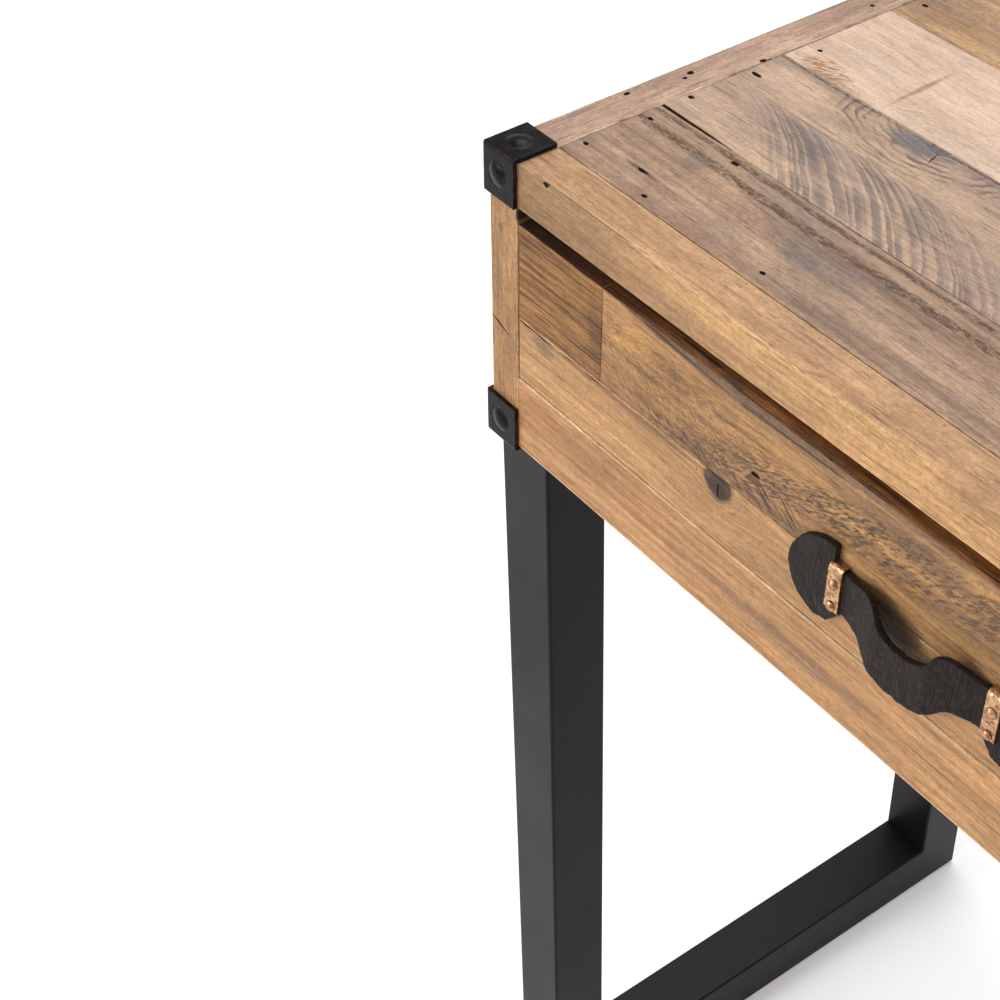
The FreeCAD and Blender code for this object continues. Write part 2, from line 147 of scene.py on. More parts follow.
class Graph:
    """A material's nodes. Each method adds a node and returns its output socket."""

    def __init__(self, name):
        self.material = bpy.data.materials.new(name)
        self.material.use_nodes = True
        self.tree = self.material.node_tree
        self.shader = self.tree.nodes["Principled BSDF"]
        place = self.tree.nodes.new("ShaderNodeTexCoord")
        self.place = place.outputs["Object"]

    def put(self, socket, value):
        if isinstance(value, bpy.types.NodeSocket):
            self.tree.links.new(value, socket)
        else:
            socket.default_value = value

    def math(self, operation, a, b=0.0):
        node = self.tree.nodes.new("ShaderNodeMath")
        node.operation = operation
        self.put(node.inputs[0], a)
        self.put(node.inputs[1], b)
        return node.outputs[0]

    def chain(self, operation, values):
        result = values[0]
        for value in values[1:]:
            result = self.math(operation, result, value)
        return result

    def total(self, *values):
        return self.chain("ADD", values)

    def times(self, *values):
        return self.chain("MULTIPLY", values)

    def minus(self, a, b):
        return self.math("SUBTRACT", a, b)

    def away(self, p, q):
        """How far a place with the coordinates p and q is from their zero."""
        return self.math("SQRT", self.total(self.times(p, p), self.times(q, q)))

    def split(self, vector):
        node = self.tree.nodes.new("ShaderNodeSeparateXYZ")
        self.put(node.inputs[0], vector)
        return node.outputs[0], node.outputs[1], node.outputs[2]

    def join(self, x, y, z):
        node = self.tree.nodes.new("ShaderNodeCombineXYZ")
        for socket, value in zip(node.inputs, (x, y, z)):
            self.put(socket, value)
        return node.outputs[0]

    def scaled(self, vector, scale, shift):
        node = self.tree.nodes.new("ShaderNodeVectorMath")
        node.operation = "MULTIPLY_ADD"
        self.put(node.inputs[0], vector)
        node.inputs[1].default_value = scale
        node.inputs[2].default_value = shift
        return node.outputs[0]

    def noise(self, vector, scale, seed=0.0, detail=3.0, rough=0.55, distortion=0.0):
        """Noise from about 0 to 1; scale is in cycles per metre along each axis."""
        if not isinstance(scale, tuple):
            scale = (scale, scale, scale)
        node = self.tree.nodes.new("ShaderNodeTexNoise")
        shift = (seed * 7.31 + 1.7, seed * 3.17 + 5.2, seed * 5.71 + 9.4)
        self.put(node.inputs["Vector"], self.scaled(vector, scale, shift))
        node.inputs["Scale"].default_value = 1.0
        node.inputs["Detail"].default_value = detail
        node.inputs["Roughness"].default_value = rough
        node.inputs["Distortion"].default_value = distortion
        return node.outputs[0]

    def cells(self, vector, scale, seed=0.0):
        """Distance to the nearest of many scattered points, for dents and pits."""
        node = self.tree.nodes.new("ShaderNodeTexVoronoi")
        node.feature = "SMOOTH_F1"
        node.inputs["Smoothness"].default_value = 0.6
        shift = (seed * 4.3, seed * 2.9, seed * 6.1)
        self.put(node.inputs["Vector"], self.scaled(vector, (scale, scale, scale), shift))
        node.inputs["Scale"].default_value = 1.0
        return node.outputs["Distance"]

    def step(self, value, low, high, start=0.0, end=1.0):
        """Smooth change from start at low to end at high."""
        node = self.tree.nodes.new("ShaderNodeMapRange")
        node.interpolation_type = "SMOOTHSTEP"
        for name, given in zip(("Value", "From Min", "From Max", "To Min", "To Max"),
                               (value, low, high, start, end)):
            self.put(node.inputs[name], given)
        return node.outputs[0]

    def mix(self, amount, a, b, blend="MIX"):
        node = self.tree.nodes.new("ShaderNodeMix")
        node.data_type = "RGBA"
        node.blend_type = blend
        self.put(node.inputs[0], amount)
        self.put(node.inputs[6], a)
        self.put(node.inputs[7], b)
        return node.outputs[2]

    def shade(self, colour, factor):
        """The colour made lighter or darker by a factor near 1."""
        return self.mix(1.0, colour, self.join(factor, factor, factor), "MULTIPLY")

    def attribute(self, name):
        node = self.tree.nodes.new("ShaderNodeAttribute")
        node.attribute_name = name
        return node.outputs["Fac"]

    def bump(self, height, distance, strength=1.0):
        node = self.tree.nodes.new("ShaderNodeBump")
        node.inputs["Strength"].default_value = strength
        node.inputs["Distance"].default_value = distance
        self.put(node.inputs["Height"], height)
        self.tree.links.new(node.outputs[0], self.shader.inputs["Normal"])

    def finish(self, colour, roughness, metallic=0.0, specular=0.5):
        self.put(self.shader.inputs["Base Color"], colour)
        self.put(self.shader.inputs["Roughness"], roughness)
        self.shader.inputs["Metallic"].default_value = metallic
        self.shader.inputs["Specular IOR Level"].default_value = specular
        return self.material


# ------------------------------------------------------------------------- wood

GREY = rgb(112, 104, 102)
# What a plank's look holds unless it says otherwise. Lengths are in metres, angles in degrees.
LOOK = dict(
    pith=0.0, ring_depth=0.09, slope=0.0,  # side place of the pith, how far behind, its rise per metre
    ring_size=0.007, late=0.5, streak=0.5,  # width of a growth ring, dark late wood, dark streaks
    wander=0.010, blotch=0.5,  # how far the grain bends, how uneven the tone is
    check=0.5, grit=1.0, sawn=0.0,  # thin cracks, fine roughness, saw marks
    grey=GREY, grey_amount=0.0,  # clouds of weathering
    edge_light=None, edge_dark=0.25, edge_even=0.15,  # arrises: rubbed colour, dirt, how even
    knots=(),  # place along, place across, radius, stretch
    halos=(),  # centre, stretch, first radius, last radius, spacing, amount
    bands=(),  # place across, half width, amount, colour
    patches=(),  # centre, radii, tilt, amount, colour
    hatches=(),  # centre, radii, tilt, lean of the lines, cycles per metre along them, amount, colour
    curls=None,  # one line of feathered curls
    fade=None,  # first place, last place, factors at the first, at the last, side limit
)


class Grain:
    """A plank's own directions, bent round its knots, and how near the nearest knot is."""

    def __init__(self, g, along, across, look):
        axes = g.split(g.place)
        self.length, self.side, self.depth = axes[along], axes[across], axes[3 - along - across]
        self.plain = g.join(self.length, self.side, self.depth)
        drift = g.noise(self.plain, (3.2, 14, 14), look["seed"], 2)
        bent = g.total(self.side, g.times(g.minus(drift, 0.5), look["wander"]))
        self.near = 9.0
        for at, side, radius, stretch in look["knots"]:
            bent, distance = self.bend(g, bent, at, side, radius, stretch)
            self.near = g.math("MINIMUM", distance, self.near)
        self.bent_side = bent
        self.bent = g.join(self.length, bent, self.depth)

    def bend(self, g, bent, at, side, radius, stretch):
        """Pushes the grain round one knot, as water flows round a stone."""
        dl = g.times(g.minus(self.length, at), 1 / stretch)
        da = g.minus(self.side, side)
        square = g.total(g.times(dl, dl), g.times(da, da))
        outside = g.math("MAXIMUM", square, radius * radius)
        push = g.math("DIVIDE", g.times(da, radius * radius), outside)
        distance = g.times(g.math("SQRT", square), 1 / radius)
        return g.minus(bent, push), distance

    def turned(self, g, centre, degrees):
        """The plank's coordinates from a centre, turned by an angle."""
        c, s = math.cos(math.radians(degrees)), math.sin(math.radians(degrees))
        dl = g.minus(self.length, centre[0])
        da = g.minus(self.side, centre[1])
        p = g.total(g.times(dl, c), g.times(da, s))
        q = g.minus(g.times(da, c), g.times(dl, s))
        return p, q

    def oval(self, g, centre, radii, degrees, seed):
        """1 inside an oval with a ragged edge, 0 outside."""
        p, q = self.turned(g, centre, degrees)
        p = g.times(p, 1 / radii[0])
        q = g.times(q, 1 / radii[1])
        away = g.away(p, q)
        ragged = g.noise(self.plain, (60, 160, 160), seed, 4, 0.7)
        return g.step(g.total(away, g.times(ragged, 1.1)), 1.65, 1.0)


def wood(name, along, across, light, mid, dark, seed, **extra):
    """Reclaimed softwood: growth rings cut by the faces, fibres, knots, stains and dirt."""
    g = Graph(name)
    look = {**LOOK, "light": light, "mid": mid, "dark": dark, "seed": seed, **extra}
    grain = Grain(g, along, across, look)
    late = late_wood(g, grain, look)
    colour = ground_tone(g, grain, look, late)
    for layer in (halo_marks, knot_marks, rubbed_edges, stains, band_marks, patch_marks, hatch_marks):
        colour = layer(g, grain, look, colour)
    relief = 0.0
    if look["curls"] is not None:
        colour, relief = curl_marks(g, grain, look, colour)
    colour, detail = fibres(g, grain, look, colour)
    if look["sawn"] > 0:
        colour, detail = saw_marks(g, grain, look, colour, detail)
    height = g.total(detail, g.times(late, -0.3), relief)
    g.bump(height, (0.45 + look["sawn"] * 0.4) * MM)
    rough = g.step(g.total(detail, g.times(late, -0.15)), 0.1, 0.9, 0.5, 0.74)
    return g.finish(colour, rough, specular=0.32)


def late_wood(g, grain, look):
    """The dark part of each growth ring, round a pith that runs along the plank behind the face."""
    sideways = g.minus(grain.bent_side, look["pith"])
    behind = g.total(grain.depth, g.times(grain.length, look["slope"]), look["ring_depth"])
    wavy = g.noise(grain.plain, (9, 70, 70), look["seed"] + 2, 4, 0.6)
    rings = g.total(g.times(g.away(sideways, behind), 1 / look["ring_size"]), g.times(wavy, 1.3))
    tooth = g.math("FRACT", rings)
    line = g.times(g.step(tooth, 0.3, 0.9), g.step(tooth, 1.0, 0.93))
    fade = g.step(g.noise(grain.plain, (7, 40, 40), look["seed"] + 3, 3), 0.35, 0.68, 0.1, 1.0)
    return g.times(line, fade)


def ground_tone(g, grain, look, late):
    seed = look["seed"]
    broad = g.noise(grain.bent, (3.5, 60, 60), seed + 4, 4, 0.65)
    medium = g.noise(grain.bent, (12, 300, 300), seed + 5, 5, 0.7)
    colour = g.mix(g.step(broad, 0.36, 0.66), look["light"], look["mid"])
    colour = g.mix(g.times(g.step(medium, 0.48, 0.74), look["streak"]), colour, look["dark"])
    return g.mix(g.times(late, look["late"]), colour, look["dark"])


def stains(g, grain, look, colour):
    """Uneven tone, a change of tone along the plank, and clouds of grey weathering."""
    seed = look["seed"]
    patch = g.noise(grain.plain, (14, 30, 30), seed + 7, 5, 0.65)
    colour = g.shade(colour, g.step(patch, 0.3, 0.7, 1 + look["blotch"] * 0.2, 1 - look["blotch"] * 0.3))
    if look["fade"] is not None:
        first, last, start, end, limit = look["fade"]
        tone = g.mix(g.step(grain.length, first, last), start + (1,), end + (1,))
        on_face = g.step(grain.side, limit + 0.6 * MM, limit)
        colour = g.mix(on_face, colour, g.mix(1.0, colour, tone, "MULTIPLY"))
    if look["grey_amount"] > 0:
        cloud = g.noise(grain.bent, (8, 50, 50), seed + 8, 5, 0.65)
        amount = g.step(cloud, 0.48, 0.7, 0.0, look["grey_amount"])
        colour = g.mix(amount, colour, look["grey"])
    return colour


def band_marks(g, grain, look, colour):
    """Long dark bands with frayed sides."""
    seed = look["seed"]
    for at, half, amount, tint in look["bands"]:
        off = g.math("ABSOLUTE", g.minus(grain.bent_side, at))
        fray = g.noise(grain.plain, (60, 420, 420), seed + 15, 3, 0.65)
        body = g.step(g.total(off, g.times(fray, half * 1.4)), half * 1.8, half * 1.1)
        speckle = g.step(g.noise(grain.plain, (260, 800, 800), seed + 16, 3, 0.7), 0.38, 0.56, 0.12, 1.0)
        colour = g.mix(g.times(body, speckle, amount), colour, tint)
    return colour


def patch_marks(g, grain, look, colour):
    """Single stained places."""
    for number, (centre, radii, tilt, amount, tint) in enumerate(look["patches"]):
        inside = grain.oval(g, centre, radii, tilt, look["seed"] + 30 + number)
        colour = g.mix(g.times(inside, amount), colour, tint)
    return colour


def hatch_marks(g, grain, look, colour):
    """Places with many short lines that lean across the grain."""
    seed = look["seed"]
    for number, (centre, radii, tilt, lean, run, amount, tint) in enumerate(look["hatches"]):
        inside = grain.oval(g, centre, radii, tilt, seed + 50 + number)
        p, q = grain.turned(g, centre, lean)
        lines = g.noise(g.join(p, q, 0.0), (run, 760, 1), seed + 60 + number, 3, 0.6)
        colour = g.mix(g.times(inside, g.step(lines, 0.48, 0.58), amount), colour, tint)
    return colour


def curl_marks(g, grain, look, colour):
    """Feathered grey curls that fall away in curves from one line along the plank, each with a painted
    highlight on its ridge.
    """
    curl = look["curls"]
    seed = look["seed"]
    drop = g.math("MAXIMUM", g.minus(curl["line"], grain.side), 0.0)
    run = g.math("SQRT", g.times(drop, 1 / curl["fall"]))
    wave = g.noise(grain.plain, (22, 40, 40), seed + 17, 3, 0.6)
    start = g.total(grain.length, g.times(run, -1.0), g.times(wave, 0.010), -curl["start"])
    count = g.noise(g.join(start, 0.0, 0.0), (60, 1, 1), seed + 18, 3)
    tooth = g.math("FRACT", g.total(g.times(start, 1 / curl["spacing"]), g.times(count, 4.5)))
    band = g.times(g.step(tooth, 0.02, 0.16), g.step(tooth, 1.0, 0.3))
    ends = g.times(g.step(start, 0.0, 0.03), g.step(start, curl["length"], curl["length"] * 0.7))
    depth = g.times(ends, g.step(drop, 0.0, 0.009))
    cloud = g.noise(g.join(start, grain.side, 0.0), (45, 45, 1), seed + 19, 4, 0.65)
    amount = g.times(band, depth, g.step(cloud, 0.34, 0.6, 0.3, 1.0))
    colour = g.mix(g.times(amount, curl["amount"]), colour, curl["colour"])
    # a thin light line at each curl's edge: painted highlight on its raised ridge
    ridge_highlight = g.times(g.step(tooth, 0.93, 1.0), depth, 0.5)
    colour = g.mix(ridge_highlight, colour, look["light"])
    return colour, g.times(amount, -0.7)


def halo_marks(g, grain, look, colour):
    """Arcs that spread round a big knot."""
    seed = look["seed"]
    for centre, stretch, first, last, spacing, amount in look["halos"]:
        p, q = grain.turned(g, centre, 0)
        away = g.away(g.times(p, 1 / stretch), q)
        wave = g.noise(grain.plain, (26, 34, 34), seed + 23, 3)
        strength = g.step(g.noise(grain.plain, (34, 60, 60), seed + 24, 3), 0.36, 0.62, 0.1, amount)
        tooth = g.math("FRACT", g.total(g.times(away, 1 / spacing), g.times(wave, 5.0)))
        line = g.times(g.step(tooth, 0.35, 0.8), g.step(tooth, 1.0, 0.86))
        inside = g.times(g.step(away, first, first * 1.4), g.step(away, last, last * 0.6))
        colour = g.mix(g.times(line, inside, strength), colour, look["dark"])
    return colour


def knot_marks(g, grain, look, colour):
    """Knots with a ringed heart and a dark rim."""
    dark = look["dark"]
    if look["knots"]:
        coarse = g.noise(grain.plain, 160, look["seed"] + 20, 4, 0.6)
        swirl = g.math("FRACT", g.total(g.times(grain.near, 2.6), coarse))
        heart = g.mix(g.step(swirl, 0.2, 0.95), deeper(dark, 1.15), deeper(dark, 0.5))
        edge = g.total(grain.near, g.times(g.minus(coarse, 0.5), 0.5))
        colour = g.mix(g.step(edge, 1.1, 0.85, 0.0, 0.85), colour, heart)
        rim = g.times(g.step(edge, 0.72, 0.95), g.step(edge, 1.12, 0.98))
        colour = g.mix(g.times(rim, 0.6), colour, deeper(dark, 0.3))
    return colour


def fibres(g, grain, look, colour):
    """Short fibres, grit, open pores, thin checks and specks of dirt. Returns colour and height."""
    seed = look["seed"]
    grit = look["grit"]
    fibre = g.noise(grain.bent, (45, 1100, 1100), seed + 6, 4, 0.75)
    grain_spots = g.noise(grain.plain, (420, 620, 620), seed + 9, 4, 0.75)
    mottle = g.noise(grain.plain, (110, 190, 190), seed + 21, 4, 0.7)
    colour = g.shade(colour, g.step(fibre, 0.28, 0.72, 1 + 0.16 * grit, 1 - 0.23 * grit))
    colour = g.shade(colour, g.step(grain_spots, 0.3, 0.7, 1 + 0.14 * grit, 1 - 0.2 * grit))
    colour = g.shade(colour, g.step(mottle, 0.3, 0.7, 1 + 0.07 * grit, 1 - 0.1 * grit))
    checks = g.noise(grain.bent, (20, 460, 460), seed + 10, 3, 0.6)
    colour = g.mix(g.step(checks, 0.6, 0.67, 0.0, look["check"]), colour, look["dark"])
    pores = g.noise(grain.bent, (70, 640, 640), seed + 25, 3, 0.6)
    colour = g.shade(colour, g.step(pores, 0.58, 0.7, 1.0, 1 - 0.4 * grit))
    specks = g.noise(grain.plain, (300, 380, 380), seed + 11, 2, 0.6)
    area = g.step(g.noise(grain.plain, 20, seed + 12, 2), 0.45, 0.66, 0.15, 1.0)
    dirt_amount = g.times(g.step(specks, 0.66, 0.75), g.times(area, 0.75))
    colour = g.mix(dirt_amount, colour, deeper(look["dark"], 0.4))
    height = g.total(g.times(fibre, 0.45), g.times(grain_spots, 0.3),
                     g.times(mottle, 0.3), g.times(checks, -0.2))
    return colour, height


def saw_marks(g, grain, look, colour, height):
    """Rough stripes left along the plank by a saw."""
    saw = g.noise(grain.plain, (14, 540, 14), look["seed"] + 13, 4, 0.75)
    wide = g.noise(grain.plain, (6, 170, 6), look["seed"] + 14, 3, 0.7)
    cut = g.step(g.total(g.times(saw, 0.65), g.times(wide, 0.35)), 0.5, 0.42)
    colour = g.mix(g.times(cut, 0.85 * look["sawn"]), colour, look["dark"])
    return colour, g.total(height, g.times(saw, 1.4 * look["sawn"]))


def rubbed_edges(g, grain, look, colour):
    """Arrises rubbed light, with dirt held here and there."""
    worn = g.attribute("edge")
    spread = g.noise(grain.plain, (60, 320, 320), look["seed"] + 22, 4, 0.75)
    dirt_part = g.step(spread, 0.5, 0.6, 0.0, look["edge_dark"] * 2)
    grime = deeper(look["dark"], 0.35)
    rubbed = look["edge_light"] if look["edge_light"] is not None else look["light"]
    light_part = g.step(spread, 0.52, 0.4, look["edge_even"], 0.9)
    colour = g.mix(g.times(worn, light_part), colour, rubbed)
    return g.mix(g.times(worn, g.math("MINIMUM", dirt_part, 0.85)), colour, grime)


# ------------------------------------------------------------------------ metal


def iron(name, base, high, brown, seed, dent=0.5, bump=0.4, rough=(0.38, 0.62), rust=0.35, fibre=0.0,
         specular=0.3):
    """Blackened iron: mottled, with soft dents, and brown where it is rubbed."""
    g = Graph(name)
    mottle = g.noise(g.place, 130, seed, 4, 0.6)
    grit = g.noise(g.place, 1500, seed + 1, 3, 0.7)
    pits = g.cells(g.place, 260, seed)
    colour = g.mix(g.step(mottle, 0.35, 0.7), base, high)
    spot = g.times(g.step(g.noise(g.place, 420, seed + 2, 3), 0.58, 0.72), rust)
    colour = g.mix(spot, colour, brown)
    rub = g.step(g.noise(g.place, 240, seed + 3, 3), 0.35, 0.62, 0.15, 0.85)
    colour = g.mix(g.times(g.attribute("edge"), rub), colour, brown)
    height = g.total(g.times(mottle, 0.6), g.times(grit, 0.25),
                     g.times(pits, dent))
    if fibre > 0:
        strand = g.noise(g.place, (700, 700, 70), seed + 5, 4, 0.7)
        crust = g.step(g.noise(g.place, (900, 900, 300), seed + 6, 3, 0.7), 0.58, 0.68, 0.0, 0.5)
        colour = g.mix(crust, g.shade(colour, g.step(strand, 0.35, 0.65, 1.3, 0.7)), brown)
        height = g.total(height, g.times(strand, fibre))
    g.bump(height, bump * MM)
    return g.finish(colour, g.step(mottle, 0.3, 0.7, rough[0], rough[1]), specular=specular)


def copper():
    g = Graph("copper")
    tone = g.noise(g.place, 330, 3, 4, 0.6)
    dents = g.cells(g.place, 420, 2)
    colour = g.mix(g.step(tone, 0.3, 0.7), rgb(208, 164, 126), rgb(162, 116, 80))
    patina = g.step(g.noise(g.place, 520, 5, 3), 0.5, 0.66, 0.0, 0.85)
    colour = g.mix(patina, colour, rgb(112, 78, 58))
    g.bump(g.total(g.times(dents, 0.8), g.times(tone, 0.4)), 0.35 * MM)
    return g.finish(colour, g.step(tone, 0.3, 0.75, 0.26, 0.46), metallic=0.9)


def powder_coat():
    """Satin black coating with a fine orange peel, dust and faint rubbed lines."""
    g = Graph("powder_coat")
    peel = g.noise(g.place, 900, 1, 2, 0.5)
    cloud = g.noise(g.place, 9, 2, 4, 0.6)
    colour = g.mix(g.step(cloud, 0.3, 0.7), rgb(17, 13, 17), rgb(22, 18, 22))
    dust = g.step(g.noise(g.place, 800, 3, 2, 0.6), 0.7, 0.8, 0.0, 0.1)
    colour = g.mix(dust, colour, rgb(120, 112, 108))
    scuff = g.noise(g.place, (900, 900, 40), 4, 2, 0.6)
    rough = g.total(g.step(cloud, 0.3, 0.7, 0.36, 0.46), g.step(scuff, 0.55, 0.75, 0.0, 0.06))
    g.bump(g.total(g.times(peel, 0.5), g.times(cloud, 0.3)), 0.08 * MM)
    return g.finish(colour, rough, specular=0.14)


def zinc():
    g = Graph("zinc_screws")
    tone = g.noise(g.place, (200, 200, 1200), 1, 3)
    colour = g.mix(g.step(tone, 0.3, 0.7), rgb(178, 180, 184), rgb(126, 128, 134))
    g.bump(tone, 0.05 * MM)
    return g.finish(colour, g.step(tone, 0.3, 0.7, 0.28, 0.45), metallic=1.0)


def glide_plastic():
    g = Graph("glide_plastic")
    tone = g.noise(g.place, 350, 1, 3)
    colour = g.mix(g.step(tone, 0.3, 0.7), rgb(30, 30, 32), rgb(48, 47, 48))
    g.bump(tone, 0.1 * MM)
    return g.finish(colour, g.step(tone, 0.3, 0.7, 0.55, 0.75))


def hole_dirt():
    """The dark inside of nail holes and cracks."""
    g = Graph("hole_dirt")
    tone = g.noise(g.place, 900, 2, 3)
    colour = g.mix(g.step(tone, 0.3, 0.7), rgb(28, 20, 14), rgb(58, 38, 24))
    g.bump(tone, 0.2 * MM)
    return g.finish(colour, g.step(tone, 0.3, 0.7, 0.75, 0.95))


# --------------------------------------------------------------- plank geometry

RING_STEP = 5 * MM
ARC_STEPS = 4
END_CHAMFER = 0.5 * MM
HOLLOW = 0.16 * MM  # how far worn faces dip
SMOOTH_ANGLE = 32  # degrees, above which an edge stays sharp
CORNERS = ((1, 1), (-1, 1), (-1, -1), (1, -1))


def section(half_a, half_b, radii):
    """Outline of a rectangle with four rounded corners, and 1 on the round parts."""
    arcs = []
    for quarter, (sign_a, sign_b) in enumerate(CORNERS):
        radius = radii[quarter]
        centre = (sign_a * (half_a - radius), sign_b * (half_b - radius))
        start = quarter * math.pi / 2
        arc = []
        for step in range(ARC_STEPS + 1):
            angle = start + step / ARC_STEPS * math.pi / 2
            arc.append((centre[0] + radius * math.cos(angle), centre[1] + radius * math.sin(angle)))
        arcs.append(arc)
    points = []
    worn = []
    for quarter in range(4):
        points += arcs[quarter]
        worn += [1.0] * (ARC_STEPS + 1)
        a, b = arcs[quarter][-1], arcs[(quarter + 1) % 4][0]
        near = min(0.2, 0.9 * MM / math.dist(a, b))
        for share in (near, 0.28, 0.5, 0.72, 1 - near):
            points.append((a[0] + (b[0] - a[0]) * share, a[1] + (b[1] - a[1]) * share))
            worn.append(0.0)
    return points, worn


def wobble(*place):
    """Smooth noise from 0 to 1 at a place."""
    return noise.noise(Vector(place)) * 0.5 + 0.5


def worn_radius(corner, at, base, dents, seed):
    """Radius of one long edge: uneven wear, small knocks, and chosen worn stretches."""
    radius = base * (0.55 + 0.9 * wobble(at * 28, corner * 7.3, seed))
    knock = max(0.0, wobble(at * 95, corner * 3.9 + 11, seed) - 0.74)
    radius += knock * 3.5 * base
    for which, middle, half_length, depth in dents:
        if which == corner:
            near = max(0.0, 1 - ((at - middle) / half_length) ** 2)
            radius += depth * near * (0.75 + 0.5 * wobble(at * 70, 3.3, seed))
    return radius


def plank_stations(length):
    """Places of the rings along a plank, with a small chamfer at both ends."""
    count = max(4, round(length / RING_STEP))
    inner = [length * i / count for i in range(1, count)]
    return [0.0, END_CHAMFER] + inner + [length - END_CHAMFER, length]


def tube_faces(rings, per_ring):
    """Faces between rings of points, closed at both ends."""
    faces = []
    for near in range(0, (rings - 1) * per_ring, per_ring):
        far = near + per_ring
        for i in range(per_ring):
            j = (i + 1) % per_ring
            faces.append((near + i, near + j, far + j, far + i))
    faces.append(tuple(reversed(range(per_ring))))
    faces.append(tuple(range((rings - 1) * per_ring, rings * per_ring)))
    return faces


def plank_mesh(low, high, along, base, dents, seed):
    """A plank as rings of the section along its length. Returns points, faces and edge wear."""
    a_axis, b_axis = [axis for axis in (X, Y, Z) if axis != along]
    size = high - low
    middle = (low + high) / 2
    stations = plank_stations(size[along])
    points, wear = [], []
    for number, at in enumerate(stations):
        radii = [worn_radius(corner, at, base, dents, seed) for corner in range(4)]
        ring, worn = section(size[a_axis] / 2, size[b_axis] / 2, radii)
        is_end = number in (0, len(stations) - 1)
        for (a, b), value in zip(ring, worn):
            hollow = HOLLOW * wobble(at * 11, a * 60 + seed, b * 60)
            hollow += END_CHAMFER if is_end else 0.0
            reach = max(abs(a), abs(b))
            point = Vector((0, 0, 0))
            point[along] = low[along] + at
            point[a_axis] = middle[a_axis] + a * (1 - hollow / reach)
            point[b_axis] = middle[b_axis] + b * (1 - hollow / reach)
            points.append(point)
            wear.append(0.8 if is_end else value)
    return points, tube_faces(len(stations), len(ring)), wear


def mesh_object(name, points, faces, wear=None, smooth_angle=SMOOTH_ANGLE):
    mesh = bpy.data.meshes.new(name)
    mesh.from_pydata([tuple(p) for p in points], [], faces)
    made = bpy.data.objects.new(name, mesh)
    bpy.context.scene.collection.objects.link(made)
    tidy = bmesh.new()
    tidy.from_mesh(mesh)
    bmesh.ops.recalc_face_normals(tidy, faces=tidy.faces)
    tidy.to_mesh(mesh)
    tidy.free()
    if wear is not None:
        layer = mesh.attributes.new("edge", "FLOAT", "POINT")
        layer.data.foreach_set("value", wear)
    smooth(made, smooth_angle)
    return made


def smooth(piece, angle):
    piece.data.polygons.foreach_set("use_smooth", [True] * len(piece.data.polygons))
    piece.data.set_sharp_from_angle(angle=math.radians(angle))


def apply_modifiers(piece):
    """Makes the modifiers' result the piece's own mesh."""
    graph = bpy.context.evaluated_depsgraph_get()
    mesh = bpy.data.meshes.new_from_object(piece.evaluated_get(graph))
    piece.modifiers.clear()
    piece.data = mesh


def carve(piece, cutters, lining):
    """Cuts small pits out of a piece; their walls take the lining material."""
    if not cutters:
        return
    points, faces = [], []
    for cut_points, cut_faces in cutters:
        base = len(points)
        points += cut_points
        faces += [tuple(index + base for index in face) for face in cut_faces]
    tool = mesh_object("cutter", points, faces)
    tool.data.materials.append(lining)
    modifier = piece.modifiers.new("pits", "BOOLEAN")
    modifier.operation = "DIFFERENCE"
    modifier.solver = "EXACT"
    modifier.material_mode = "TRANSFER"
    modifier.object = tool
    apply_modifiers(piece)
    bpy.data.objects.remove(tool)


def pit(centre, normal, radius, depth, seed, stretch=1.0, stretch_axis=X):
    """An irregular cone let into a face: its rim is a little above the face."""
    normal = Vector(normal)
    side = Vector((0, 0, 0))
    side[stretch_axis] = 1.0
    other = normal.cross(side)
    rim, floor = [], []
    turns = 11
    for i in range(turns):
        angle = 2 * math.pi * i / turns
        ragged = 0.6 + 0.8 * wobble(math.cos(angle) * 2.3, math.sin(angle) * 2.3, seed * 3.1)
        out = side * math.cos(angle) * radius * stretch + other * math.sin(angle) * radius
        rim.append(centre + normal * depth * 0.4 + out * ragged * 1.15)
        floor.append(centre - normal * depth + out * ragged * 0.45)
    faces = [tuple(range(turns)), tuple(reversed(range(turns, 2 * turns)))]
    for i in range(turns):
        j = (i + 1) % turns
        faces.append((i, i + turns, j + turns, j))
    return rim + floor, faces


def slit(path, normal, depth):
    """A narrow V-shaped split along a path of (point, width in mm)."""
    normal = Vector(normal)
    points = []
    for number, (centre, width) in enumerate(path):
        ahead = path[min(number + 1, len(path) - 1)][0]
        behind = path[max(number - 1, 0)][0]
        side = normal.cross((ahead - behind).normalized()) * width * MM * 0.5
        lift = normal * 0.4 * MM
        points += [centre + lift + side * 1.2, centre + lift - side * 1.2, centre - normal * depth * MM]
    last = len(points) - 3
    faces = [(0, 1, 2), (last + 2, last + 1, last)]
    for base in range(0, last, 3):
        for i in range(3):
            j = (i + 1) % 3
            faces.append((base + i, base + 3 + i, base + 3 + j, base + j))
    return points, faces


def replace_plank(node, body, along, material, seed, base=0.9, dents=(), cutters=(), parts=None,
                  upper=None):
    """Stands a worn plank, or several side by side, in the place of a CAD node."""
    low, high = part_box(node)
    blocks = parts if parts else [(low, high)]
    points, faces, wear = [], [], []
    for number, (block_low, block_high) in enumerate(blocks):
        made = plank_mesh(block_low, block_high, along, base * MM, dents, seed + number * 5.7)
        start = len(points)
        points += made[0]
        faces += [tuple(index + start for index in face) for face in made[1]]
        wear += made[2]
    piece = mesh_object(node + "_timber", points, faces, wear)
    piece.data.materials.append(material)
    # faces that point up take the second material; on the drawer's face planks it is painted shade
    if upper is not None:
        piece.data.materials.append(upper)
        for face in piece.data.polygons:
            if face.normal.z > 0.75:
                face.material_index = 1
    carve(piece, cutters, dirt)
    smooth(piece, SMOOTH_ANGLE)
    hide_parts(node)
    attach(piece, body)
    return piece


# ------------------------------------------------------------------ timber parts

SLOTS = {row["node"]: row["material_slot"] for row in frame["record"]["subparts"]}
UP = (0, 0, 1)
OUT = (0, -1, 0)
dirt = hole_dirt()


